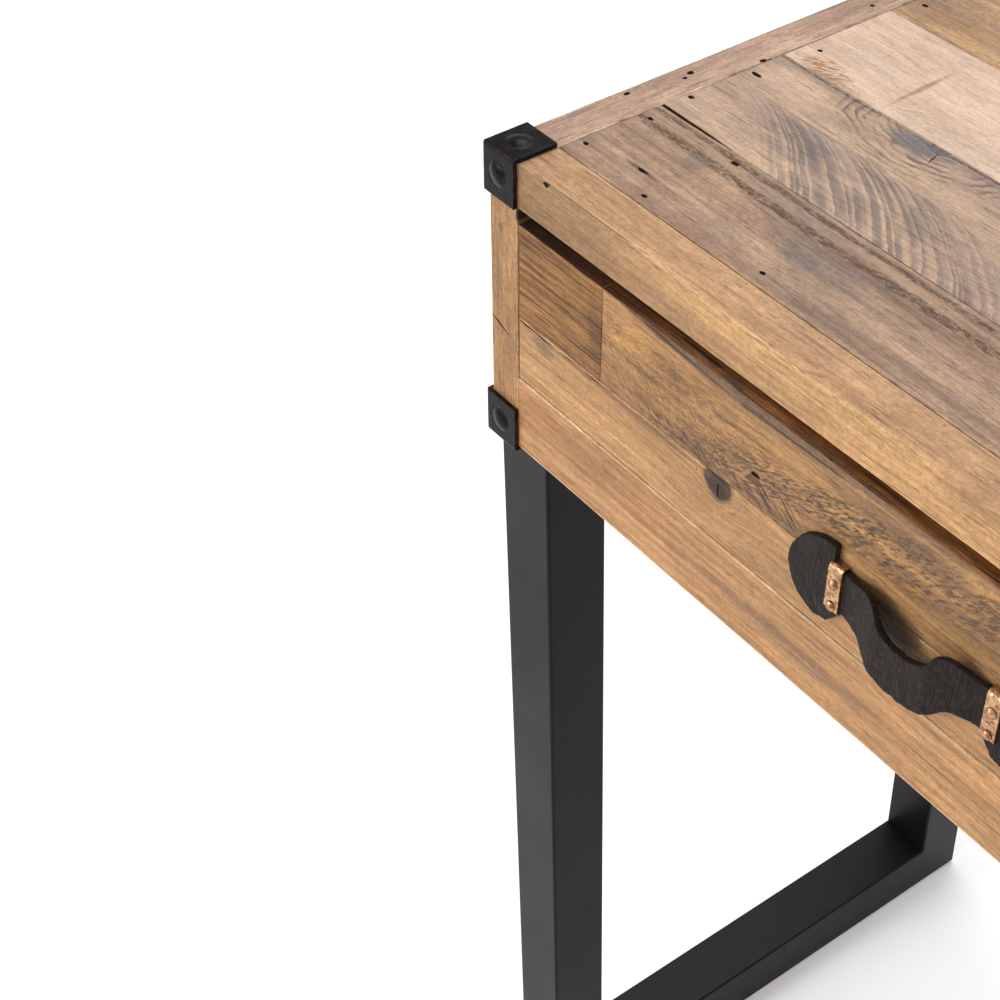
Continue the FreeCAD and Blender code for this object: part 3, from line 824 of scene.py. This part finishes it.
def tabletop():
    """Five planks. Each has a look and nail holes, which are right, back and size in mm, and stretch."""
    planks = (grooved_plank(), curly_plank(), pale_plank(), knotty_plank(), plain_plank())
    for number, (look, marks) in enumerate(planks, start=1):
        node = "top_plank_%d" % number
        cutters = [pit(on_top(right, back), UP, size * MM, 2.2 * MM, right, stretch)
                   for right, back, size, stretch in marks]
        if number == 2:
            cutters += curly_plank_splits()
        replace_plank(node, "table", X, wood(node, X, Y, **look), number * 3.3, base=0.35,
                      cutters=cutters)


def grooved_plank():
    brown = rgb(88, 60, 38)
    look = dict(
        light=rgb(181, 147, 118), mid=rgb(155, 122, 98), dark=rgb(92, 68, 52), seed=11, blotch=0.7,
        ring_depth=0.16, ring_size=0.0052, late=0.3, streak=0.6, grey=rgb(122, 106, 98), grey_amount=0.6,
        bands=stripes((72.5, 3.5, 1.0, brown), (83.2, 2.1, 0.95, brown), (88.0, 0.9, 0.9, brown),
                      (54, 2, 0.3, brown)),
        patches=spots(top_at,
                      (72, 68, 9, 9, 0, 0.5, rgb(104, 94, 94)),
                      (160, 56, 14, 12, 0, 0.5, rgb(112, 100, 96)),
                      (62, 43.6, 14, 1.6, 0, 0.8, rgb(70, 48, 36))))
    holes = ((27.8, 37.1, 1.5, 1.2), (62.8, 43.6, 1.2, 3.4), (79.5, 30.7, 1.3, 1.4), (157.8, 33.6, 1.3, 1.5),
             (84.3, 82.1, 1.7, 1.6), (29.3, 75.7, 1.4, 1.5), (321, 58, 1.4, 1), (470, 40, 1.5, 1.2))
    return look, holes


def curly_plank():
    grey = rgb(110, 100, 98)
    pale_grey = rgb(112, 102, 100)
    look = dict(
        light=rgb(187, 156, 129), mid=rgb(164, 136, 116), dark=rgb(92, 72, 60), seed=23, blotch=0.5,
        grit=0.8, ring_depth=0.3, ring_size=0.009, late=0.3, streak=0.45, grey=rgb(126, 114, 110),
        grey_amount=0.45, wander=0.014, edge_dark=0.1,
        knots=((*top_at(134, 168), 0.0045, 1.3), (*top_at(520, 140), 0.007, 1.5)),
        halos=((top_at(127, 173), 1.6, 0.010, 0.046, 0.0038, 0.95),),
        bands=stripes((168.6, 0.9, 0.9, rgb(64, 42, 28)), (137.5, 0.5, 0.5, rgb(120, 92, 76))),
        patches=spots(top_at,
                      (123, 161, 21, 8, 0, 0.8, rgb(98, 94, 98)),
                      (115.5, 155, 4, 2.6, -25, 0.8, rgb(122, 82, 50)),
                      (50, 152, 34, 13, 0, 0.8, rgb(196, 164, 138)),
                      (97, 121, 11, 4.5, -20, 0.55, grey),
                      (112, 95, 10, 4, -35, 0.5, grey),
                      (145, 101, 22, 7, -35, 0.35, pale_grey),
                      (172, 113, 16, 7, -40, 0.35, pale_grey)),
        curls=dict(line=top_at(0, 137)[1], fall=5.2, start=top_at(-9, 0)[0], length=0.2, spacing=0.0086,
                   amount=0.66, colour=rgb(92, 84, 86)))
    return look, ((26.0, 104.5, 1.6, 1.4), (29.2, 144.5, 1.7, 2.2), (402, 120, 1.5, 1), (560, 152, 1.5, 1.3))


def curly_plank_splits():
    long_split = [(on_top(23, 88.7), 1.9), (on_top(45, 88.7), 1.5), (on_top(75, 88.5), 0.3)]
    knot_split = [(on_top(136, 164), 0.3), (on_top(137.5, 158), 0.8), (on_top(139, 154), 0.2)]
    return [slit(long_split, UP, 7), slit(knot_split, UP, 2)]


def pale_plank():
    look = dict(
        light=rgb(215, 186, 163), mid=rgb(201, 171, 147), dark=rgb(150, 116, 90), seed=31, ring_depth=0.04,
        ring_size=0.010, slope=-0.04, pith=top_at(0, 205)[1], late=0.35, streak=0.25, blotch=0.4,
        edge_dark=0.1, grit=0.65, check=0.25,
        bands=stripes((169.0, 0.8, 0.9, rgb(72, 46, 30))),
        patches=spots(top_at,
                      (44, 176, 22, 9, -8, 0.4, rgb(168, 128, 88)),
                      (62, 171, 18, 2.2, 0, 0.5, rgb(150, 108, 70)),
                      (89, 200, 2, 24, 2, 0.7, rgb(140, 106, 78)),
                      (72, 214, 16, 1.4, -12, 0.4, rgb(160, 126, 98))),
        hatches=spots(top_at,
                      (110, 180, 35, 9, 0, 24, 60, 0.35, rgb(156, 124, 98)),
                      (45, 176, 22, 9, -8, 30, 150, 0.9, rgb(140, 98, 60))))
    return look, ((31, 186, 1.3, 1.2), (250, 226, 1.3, 1), (566, 190, 1.7, 1.4))


def knotty_plank():
    look = dict(
        light=rgb(190, 150, 108), mid=rgb(168, 128, 88), dark=rgb(98, 68, 44), seed=43, ring_depth=0.07,
        ring_size=0.007, late=0.5, slope=0.03, pith=top_at(0, 270)[1], grey_amount=0.4,
        knots=((*top_at(430, 285), 0.008, 1.5),))
    return look, ((30, 262, 1.6, 1.3), (568, 288, 1.6, 1.0))


def plain_plank():
    look = dict(
        light=rgb(178, 144, 114), mid=rgb(152, 120, 94), dark=rgb(88, 66, 50), seed=57, ring_depth=0.13,
        ring_size=0.006, late=0.45, grey_amount=0.5, knots=((*top_at(220, 352), 0.007, 1.6),))
    return look, ((33, 330, 1.6, 1.3), (565, 345, 1.6, 1.6), (300, 362, 1.4, 1.0))


def top_border():
    """The batten frame round the planks."""
    marks = ((20.7, 156.4, 1.5, 1.5), (7.9, 119.2, 1.5, 1.6), (10, 114, 1.1, 1.6), (4.3, 81.4, 1.4, 1.5),
             (13, 240, 1.4, 1))
    holes = [pit(on_top(right, back), UP, size * MM, 2 * MM, back, stretch, Y)
             for right, back, size, stretch in marks]
    gouge = [pit(on_top(44.5, 0.6), UP, 1.4 * MM, 1.6 * MM, 4, 1.8)]
    side = side_batten_look()
    front = front_batten_look()
    for node, along, across, look, seed, cutters in (
            ("top_border_left", Y, X, side, 5, holes), ("top_border_right", Y, X, side, 6, ()),
            ("top_border_front", X, Y, front, 8, gouge), ("top_border_back", X, Y, front, 9, ())):
        replace_plank(node, "table", along, wood(node, along, across, seed=seed, **look),
                      seed, base=0.8, cutters=cutters)


def side_batten_look():
    """The battens on the left and right, with an inner edge that is rubbed light and holds dirt."""
    pale, dirty = rgb(216, 190, 166), rgb(66, 48, 36)
    return dict(
        light=rgb(191, 157, 133), mid=rgb(172, 138, 116), dark=rgb(104, 78, 64), blotch=0.7,
        ring_depth=0.12, ring_size=0.005, late=0.25, streak=0.4, edge_light=rgb(206, 174, 146),
        grey=rgb(124, 106, 98), grey_amount=0.4,
        patches=spots(side_at, *((back, 22, size, 1, 0, 0.6, pale)
                                 for back, size in ((45, 24), (110, 30), (158, 16)))),
        hatches=spots(side_at, *((back, 22, size, 1.1, 0, 0, 120, 0.9, dirty)
                                 for back, size in ((52, 20), (146, 22)))))


def front_batten_look():
    """The battens in front and at the back. Their outer faces are darker on the left."""
    return dict(
        light=rgb(199, 155, 112), mid=rgb(179, 135, 94), dark=rgb(108, 76, 50), blotch=0.6, ring_depth=0.1,
        ring_size=0.0045, late=0.25, streak=0.4, edge_dark=0.1, grey=rgb(136, 104, 82), grey_amount=0.5,
        edge_light=rgb(206, 164, 118),
        patches=spots(top_at,
                      (74, 1.7, 44, 1.0, 0, 0.7, rgb(92, 74, 58)),
                      (225, 4, 7, 1.6, 25, 0.5, rgb(110, 84, 62))),
        fade=(top_at(25, 0)[0], top_at(210, 0)[0], (0.62, 0.61, 0.53), (1.14, 1.14, 0.98),
              top_at(0, 0.4)[1]))


def posts():
    look = dict(
        light=rgb(186, 140, 92), mid=rgb(170, 125, 79), dark=rgb(104, 72, 44), ring_depth=0.06,
        ring_size=0.004, late=0.15, streak=0.3, grit=1.3, blotch=0.6, edge_dark=0.1,
        edge_light=rgb(206, 164, 116),
        patches=spots(post_at,
                      (29, 22.5, 4.5, 1.6, 0, 0.95, rgb(36, 26, 20)),
                      (43, 9, 3, 2, 0, 0.5, rgb(104, 76, 50))))
    crack = [slit([(on_front(0.3, 100.5), 0.5), (on_front(6, 102.8), 1.3), (on_front(15, 106.0), 0.4)],
                  OUT, 3)]
    for seed, where in enumerate(("front_left", "front_right", "back_left", "back_right"), start=61):
        node = "post_" + where
        replace_plank(node, "table", Z, wood(node, Z, X, seed=seed, **look), seed, base=0.7,
                      cutters=crack if where == "front_left" else ())


def bottom_rail():
    node = "front_bottom_rail"
    material = wood(
        node, X, Z, light=rgb(203, 153, 101), mid=rgb(183, 133, 85), dark=rgb(120, 80, 50), seed=71,
        ring_depth=0.2, ring_size=0.0062, late=0.45, streak=0.6, grit=0.9, edge_light=rgb(240, 204, 156),
        edge_dark=0.03, edge_even=0.5,
        patches=spots(front_at,
                      (215, 152, 95, 4.5, 0, 0.55, rgb(132, 98, 70)),
                      (60, 141, 60, 5, -4, 0.55, rgb(156, 104, 64)),
                      (235, 157, 50, 3, 0, 0.4, rgb(120, 104, 90)),
                      (430, 148, 120, 7, 0, 0.3, rgb(146, 108, 72))))
    replace_plank(node, "table", X, material, 7.1, base=0.7)


def panels():
    """Side and back panels, each glued up from two boards with two knots."""
    look = dict(light=rgb(188, 146, 104), mid=rgb(162, 122, 84), dark=rgb(98, 68, 46), ring_depth=0.06,
                ring_size=0.008, late=0.5, streak=0.5, grey_amount=0.35)
    for node, along, seam_share, seed in (("side_panel_left", Y, 0.47, 81), ("side_panel_right", Y, 0.47, 83),
                                          ("back_panel", X, 0.55, 85)):
        low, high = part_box(node)
        seam = low.z + (high.z - low.z) * seam_share
        boards = [(low, Vector((high.x, high.y, seam))), (Vector((low.x, low.y, seam)), high)]
        middle = (low + high)[along] / 2
        knots = ((middle - 0.07, low.z + 0.038, 0.008, 1.5), (middle + 0.11, low.z + 0.11, 0.006, 1.6))
        material = wood(node, along, Z, seed=seed, knots=knots, pith=low.z + 0.05, **look)
        replace_plank(node, "table", along, material, seed, base=0.6, parts=boards)


PULL_SHADOW_AND_STAIN = rgb(60, 42, 30)  # painted shadow of the pull's belly on the wood, partly also a dark stain


def shaded_sawn_top():
    """The sawn upper edge of the drawer's face planks, painted dark as shade in the gap under the tabletop,
    darkest on the left.
    """
    return wood(
        "old_sawn_edge", X, Y, light=rgb(166, 108, 54), mid=rgb(128, 80, 40), dark=rgb(42, 27, 17), seed=89,
        ring_depth=0.2, ring_size=0.004, sawn=0.8, streak=0.8, check=0.9, edge_dark=0.05,
        edge_light=rgb(96, 73, 54),
        fade=(top_at(45, 0)[0], top_at(170, 0)[0], (0.3, 0.3, 0.32), (1.2, 1.15, 1.1), CORNER.y + 1))


def short_plank(upper):
    node = "drawer_plank_short"
    material = wood(
        node, X, Z, light=rgb(183, 131, 76), mid=rgb(155, 109, 61), dark=rgb(68, 44, 26), seed=91,
        ring_depth=0.2, ring_size=0.005, late=0.3, streak=0.7, sawn=0.9, blotch=0.8,
        edge_light=rgb(178, 132, 84),
        patches=spots(front_at,
                      (84, 64, 8, 26, 6, 0.5, rgb(84, 60, 42)),
                      (52, 88, 26, 3, 0, 0.6, rgb(78, 58, 42))))
    replace_plank(node, "drawer", X, material, 9.1, base=0.7, upper=upper)


def face_point(y, right, down):
    """A point of the drawer's face, in mm from the left front corner."""
    x, z = front_at(right, down)
    return Vector((x, y, z))


def face_slit(y, path, depth):
    """A split in the drawer's face along a path of right, down and width in mm."""
    return slit([(face_point(y, right, down), width) for right, down, width in path], OUT, depth)


def long_plank_patches():
    return spots(front_at,
                 (112, 54, 20, 12, 15, 0.3, rgb(214, 160, 92)),
                 (104, 56, 9, 4, 10, 0.6, rgb(224, 166, 88)),
                 (199, 75, 4.5, 2.8, 0, 1.3, rgb(128, 70, 46)),
                 (205, 36.5, 90, 3, 0, 0.6, rgb(122, 97, 76)),
                 (143, 36.8, 44, 1.0, -3.5, 0.8, rgb(62, 42, 30)),
                 (215, 38.4, 44, 1.1, 1.5, 0.8, rgb(62, 42, 30)),
                 (288, 46, 75, 7, -3, 0.45, rgb(104, 80, 62)),
                 # painted shadow of the pull on the wood, partly a dark stain
                 (288, 91, 19, 11, 0, 0.85, PULL_SHADOW_AND_STAIN))


def long_plank_hatches():
    """Crossing saw and scraper marks round the heart."""
    grey_brown = rgb(66, 54, 48)
    return spots(front_at,
                 (218, 66, 95, 13, 14, 24, 190, 0.8, grey_brown),
                 (213, 81, 20, 13, 0, -38, 35, 1.0, grey_brown),
                 (160, 84, 68, 7, 0, -24, 170, 0.8, rgb(74, 54, 40)),
                 (150, 68, 60, 24, 0, -44, 90, 0.4, rgb(96, 70, 46)),
                 (160, 60, 70, 22, 0, 8, 150, 0.45, rgb(96, 70, 48)),
                 (300, 55, 90, 18, 6, 30, 190, 0.7, grey_brown),
                 (104, 66, 28, 26, 0, -42, 130, 0.45, rgb(104, 74, 48)),
                 (104, 50, 30, 14, 0, 20, 150, 0.35, rgb(220, 168, 96)),
                 (440, 62, 80, 20, 0, -35, 150, 0.4, grey_brown))


TOP_FRONT = 1  # a plank's arris between its upper and its front face, as worn_radius counts them


def long_plank(upper):
    node = "drawer_plank_long"
    material = wood(
        node, X, Z, light=rgb(194, 145, 90), mid=rgb(163, 119, 74), dark=rgb(84, 60, 42), seed=97,
        ring_depth=0.07, ring_size=0.006, late=0.35, streak=0.65, sawn=0.2, blotch=0.9, wander=0.02,
        grey=rgb(96, 80, 68), grey_amount=0.5, edge_light=rgb(140, 110, 82), edge_even=0.6, edge_dark=0.06,
        patches=long_plank_patches(), hatches=long_plank_hatches())
    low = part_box(node)[0]
    start = low.x - CORNER.x
    worn = [(TOP_FRONT, middle - start, half, depth * MM)
            for middle, half, depth in ((0.185, 0.085, 4.8), (0.31, 0.08, 2.6), (0.47, 0.06, 1.6))]
    heart = pit(face_point(low.y, 198.5, 71.6), OUT, 1.3 * MM, 3 * MM, 5, 2.4)
    replace_plank(node, "drawer", X, material, 9.7, base=0.7, dents=worn, cutters=[heart],
                  upper=upper)


KNOT_SPLIT = ((175.4, 92.9, 0.9), (175.7, 97, 1.1), (175.9, 102, 0.3))
TORN_SEAM = (  # splinters torn out along the seam
    ((24, 90.6, 0.6), (29, 91.0, 1.3), (36, 90.7, 0.8), (44, 91.2, 1.2), (53, 90.8, 0.2)),
    ((57, 90.5, 0.2), (64, 90.9, 0.7), (72, 90.5, 0.2)),
    ((76, 90.6, 0.2), (83, 90.9, 0.9), (90, 90.7, 0.6), (99, 90.5, 0.2)),
    ((118, 90.4, 0.1), (127, 90.7, 0.5), (140, 90.4, 0.1)),
)


def lower_plank():
    node = "drawer_plank_lower"
    knot = front_at(175.4, 92.6)
    material = wood(
        node, X, Z, light=rgb(206, 157, 103), mid=rgb(186, 138, 88), dark=rgb(118, 82, 56), seed=103,
        ring_depth=0.16, ring_size=0.0056, late=0.35, streak=0.45, grit=0.9, grey=rgb(110, 90, 74),
        grey_amount=0.2, edge_light=rgb(220, 176, 126), edge_dark=0.12,
        knots=((*knot, 0.0082, 1.12),), halos=((knot, 1.3, 0.010, 0.02, 0.003, 0.3),),
        patches=spots(front_at,
                      (175.4, 92.6, 12, 12, 0, 1.0, rgb(60, 38, 27)),
                      (43, 96, 11, 6, 0, 0.65, rgb(112, 92, 72)),
                      (120, 92, 95, 1.8, 0, 0.6, rgb(96, 70, 50)),
                      # painted shadow of the pull on the wood, partly a dark stain
                      (288, 93, 19, 12, 0, 0.85, PULL_SHADOW_AND_STAIN)))
    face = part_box(node)[0].y
    cutters = [face_slit(face, KNOT_SPLIT, 3)] + [face_slit(face, path, 1.6) for path in TORN_SEAM]
    replace_plank(node, "drawer", X, material, 10.3, base=0.6, cutters=cutters)


def drawer_box():
    """The box behind the face planks keeps its CAD shape, in planed pine and plywood."""
    planed = dict(light=rgb(206, 172, 128), mid=rgb(188, 152, 108), dark=rgb(146, 108, 72), ring_size=0.006,
                  late=0.35, streak=0.3, blotch=0.3, pith=0.7, grit=0.7)
    across_x = wood("planed_pine_x", X, Z, seed=111, **planed)
    across_y = wood("planed_pine_y", Y, Z, seed=113, **planed)
    ply = wood("plywood", X, Y, seed=117, light=rgb(206, 174, 134), mid=rgb(190, 156, 116),
               dark=rgb(150, 116, 80), ring_depth=0.03, ring_size=0.012, slope=0.02, late=0.4, streak=0.25,
               grit=0.7)
    for node, made in frame["nodes"].items():
        if SLOTS.get(node) == "inner_wood":
            low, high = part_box(node)
            use_material(made, across_y if high.y - low.y > high.x - low.x else across_x)
        elif SLOTS.get(node) == "plywood":
            use_material(made, ply)


def drawer():
    upper = shaded_sawn_top()
    short_plank(upper)
    long_plank(upper)
    lower_plank()
    drawer_box()


def use_material(piece, material):
    piece.data.materials.clear()
    piece.data.materials.append(material)


# ----------------------------------------------------------------- iron corners

SHELL = 2.35 * MM  # thickness, a little less than the CAD plate's because the skin dips
DIP = 0.12 * MM
DOME = 1.9 * MM
BOSS_R = 6.5 * MM
BOSS_H = 1.75 * MM
BOSS_RING = 1.4 * MM  # width of the pressed ring round a boss
ROUNDING = 1.5 * MM
RIM_BEVEL = 0.35 * MM
EDGE_WEAR, RIM_WEAR, BOSS_WEAR = 1.2 * MM, 0.9 * MM, 0.7 * MM  # widths of the rubbed lines
BEYOND = 6 * MM  # how far the cube goes on past the plates
BRACKET_STEPS = 34


def skin_point(point, low, high):
    """The cube's skin with rounded edges: the point pulled on to it, and the way out there."""
    core = Vector([min(max(point[i], low[i] + ROUNDING), high[i] - ROUNDING) for i in range(3)])
    out = (point - core).normalized()
    return core + out * ROUNDING, out


def cube_round(outer, inner, signs):
    """Low and high corner of the cube whose skin the plates follow. It goes on past their open sides."""
    low = Vector([min(outer[i], inner[i]) for i in range(3)])
    high = Vector([max(outer[i], inner[i]) for i in range(3)])
    for i in range(3):
        if signs[i] > 0:
            low[i] -= BEYOND
        else:
            high[i] += BEYOND
    return low, high


def plate_detail(point, u, v, outer, inner, bossed):
    """How far a plate's skin rises at a point, and how worn it is there."""
    middle = (outer + inner) / 2
    edge = min(abs(point[u] - outer[u]), abs(point[v] - outer[v]))
    rim = min(abs(point[u] - inner[u]), abs(point[v] - inner[v]))
    off = math.hypot(point[u] - middle[u], point[v] - middle[v])
    wear = max(0.0, 1 - edge / EDGE_WEAR) + 0.5 * max(0.0, 1 - rim / RIM_WEAR)
    lift = -DIP * wobble(*(point * 240))
    if bossed:
        lift += boss_height(off)
        wear += 0.45 * max(0.0, 1 - abs(off - BOSS_R * 0.95) / BOSS_WEAR)
    return lift, min(1.0, wear)


def bracket_material():
    return iron("bracket_iron", rgb(13, 11, 13), rgb(23, 20, 22), rgb(74, 54, 46), 4, dent=0.2, bump=0.2,
                rough=(0.16, 0.28), rust=0.25, specular=0.07)


def grid_faces(grid):
    """Four-sided faces of a square grid, without those that shrank to a line."""
    faces = []
    for i, j in product(range(BRACKET_STEPS), repeat=2):
        face = (grid[i, j], grid[i + 1, j], grid[i + 1, j + 1], grid[i, j + 1])
        if len(set(face)) == 4:
            faces.append(face)
    return faces


def bracket_skin(outer, inner, signs, bossed):
    """The outer skin of three plates with rounded edges and bosses, and its wear."""
    low, high = cube_round(outer, inner, signs)
    points, wear, faces, index = [], [], [], {}
    for axis in range(3):
        u, v = [i for i in range(3) if i != axis]
        grid = {}
        for i, j in product(range(BRACKET_STEPS + 1), repeat=2):
            point = Vector((0, 0, 0))
            point[axis] = outer[axis]
            point[u] = outer[u] + (inner[u] - outer[u]) * i / BRACKET_STEPS
            point[v] = outer[v] + (inner[v] - outer[v]) * j / BRACKET_STEPS
            lift, value = plate_detail(point, u, v, outer, inner, bossed[axis])
            place, out = skin_point(point, low, high)
            key = tuple(round(c * 1e5) for c in place)
            if key not in index:
                index[key] = len(points)
                points.append(place + out * lift)
                wear.append(value)
            grid[i, j] = index[key]
        faces += grid_faces(grid)
    return points, faces, wear


def bracket(node, signs, material):
    """Three plates round a corner with rounded edges and a low boss on each, except the bottom plate of a
    lower corner, made as one skin.
    """
    low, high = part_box(node)
    outer = Vector([high[i] if signs[i] > 0 else low[i] for i in range(3)])
    inner = Vector([low[i] if signs[i] > 0 else high[i] for i in range(3)])
    bossed = (True, True, "top" in node)
    for i in range(3):
        if bossed[i]:
            outer[i] -= signs[i] * DOME
    piece = mesh_object(node + "_iron", *bracket_skin(outer, inner, signs, bossed), smooth_angle=40)
    outward = sum(face.normal.dot(Vector(signs)) for face in piece.data.polygons)
    if outward < 0:
        piece.data.flip_normals()
    shell = piece.modifiers.new("plate", "SOLIDIFY")
    shell.thickness = SHELL
    shell.offset = -1
    rim = piece.modifiers.new("rim", "BEVEL")
    rim.width = RIM_BEVEL
    rim.segments = 2
    rim.limit_method = "ANGLE"
    rim.angle_limit = math.radians(60)
    apply_modifiers(piece)
    smooth(piece, 50)
    use_material(piece, material)
    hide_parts(node)
    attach(piece, "table")


def boss_height(off):
    """A domed boss with a shallow pressed ring round it."""
    if off < BOSS_R:
        return BOSS_H * (1 - (off / BOSS_R) ** 2) ** 0.85
    ring = (off - BOSS_R) / BOSS_RING
    return -0.1 * MM * math.sin(min(ring, 1.0) * math.pi)


def brackets():
    material = bracket_material()
    for level, up in (("top", 1), ("bottom", -1)):
        for row, back in (("front", -1), ("back", 1)):
            for side, right in (("left", -1), ("right", 1)):
                bracket("corner_%s_%s_%s" % (level, row, side), (right, back, up), material)


# ----------------------------------------------------------------------- handle


BLOWS = ((1.0, 0.6), (2.7, 0.3), (7.0, 0.12))  # finer and finer dents: scale and share
SOFTENING = 3  # rounds of smoothing after the remesh


def forged(node, material, voxel, dent, scale):
    """A hand-forged copy of a CAD piece: softened edges and an uneven hammered skin."""
    piece = frame["nodes"][node].copy()
    piece.data = frame["nodes"][node].data.copy()
    for key in list(piece.keys()):
        del piece[key]
    piece.parent = None
    piece.name = node + "_forged"
    bpy.context.scene.collection.objects.link(piece)
    remesh = piece.modifiers.new("even", "REMESH")
    remesh.mode = "VOXEL"
    remesh.voxel_size = voxel
    relax = piece.modifiers.new("soft", "SMOOTH")
    relax.iterations = SOFTENING
    relax.factor = 0.5
    apply_modifiers(piece)
    mesh = piece.data
    normals = [v.normal.copy() for v in mesh.vertices]
    for vertex, normal in zip(mesh.vertices, normals):
        p = vertex.co
        blow = sum(noise.noise(p * scale * finer) * part for finer, part in BLOWS)
        vertex.co = p + normal * (blow - 0.6) * dent
    smooth(piece, 60)
    use_material(piece, material)
    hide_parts(node)
    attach(piece, "drawer")
    return piece


def handle():
    """The pull, its straps and their rivets."""
    black = iron("forged_iron", rgb(28, 20, 20), rgb(46, 35, 34), rgb(92, 62, 46), 9, dent=0.5, bump=0.6,
                 rough=(0.5, 0.7), rust=0.3, fibre=2.4, specular=0.17)
    forged("handle_plate", black, voxel=0.6 * MM, dent=0.45 * MM, scale=170)
    red = copper()
    for side in ("left", "right"):
        forged("handle_strap_" + side, red, voxel=0.3 * MM, dent=0.3 * MM, scale=420)
    forged("strap_rivets", red, voxel=0.25 * MM, dent=0.25 * MM, scale=600)


# ------------------------------------------------------------- remaining pieces


def metalwork():
    """Tubes, screws and pads keep their CAD shape."""
    by_slot = {"powder_coat": powder_coat(), "screw_steel": zinc(), "glide_plastic": glide_plastic()}
    for node, made in frame["nodes"].items():
        if SLOTS.get(node) in by_slot:
            use_material(made, by_slot[SLOTS[node]])


# ------------------------------------------------------------------------ stage

FLOOR_HALF = 30.0
FLOOR_GLOW = 0.17  # a faint glow, because the floor in the photo is nearly white
SKY_STRENGTH = 0.71
WHITE = (1.0, 1.0, 1.0, 1.0)


def floor_material():
    g = Graph("pale_floor")
    cloud = g.noise(g.place, 1.3, 1, 4, 0.5)
    fine = g.noise(g.place, 180, 2, 2, 0.5)
    colour = g.mix(g.step(cloud, 0.3, 0.7), (0.86, 0.86, 0.87, 1), (0.9, 0.9, 0.9, 1))
    g.bump(fine, 0.05 * MM)
    g.shader.inputs["Emission Color"].default_value = WHITE
    g.shader.inputs["Emission Strength"].default_value = FLOOR_GLOW
    return g.finish(colour, g.step(fine, 0.3, 0.7, 0.6, 0.7), specular=0.2)


def make_floor():
    h = FLOOR_HALF
    corners = [Vector((-h, -h, 0)), Vector((h, -h, 0)), Vector((h, h, 0)), Vector((-h, h, 0))]
    floor = mesh_object("floor", corners, [(0, 1, 2, 3)])
    floor.data.materials.append(floor_material())


def area_light(name, place, target, size, power):
    data = bpy.data.lights.new(name, "AREA")
    data.shape = "RECTANGLE"
    data.size = size
    data.size_y = size
    data.energy = power
    light = bpy.data.objects.new(name, data)
    bpy.context.scene.collection.objects.link(light)
    aim = (Vector(target) - Vector(place)).to_track_quat("-Z", "Y")
    light.matrix_world = Matrix.Translation(Vector(place)) @ aim.to_matrix().to_4x4()


def make_lights():
    world = bpy.data.worlds.new("studio")
    world.use_nodes = True
    sky = world.node_tree.nodes["Background"]
    sky.inputs["Color"].default_value = WHITE
    sky.inputs["Strength"].default_value = SKY_STRENGTH
    bpy.context.scene.world = world
    area_light("overhead", (-0.9, 0.8, 3.0), (0, 0, 0.7), size=1.5, power=43)
    area_light("front_left", (-1.4, -2.4, 1.3), (0, 0, 0.65), size=1.3, power=32)
    bpy.context.scene.view_settings.view_transform = "Standard"


make_camera()
make_floor()
make_lights()
tabletop()
top_border()
posts()
bottom_rail()
panels()
drawer()
brackets()
handle()
metalwork()
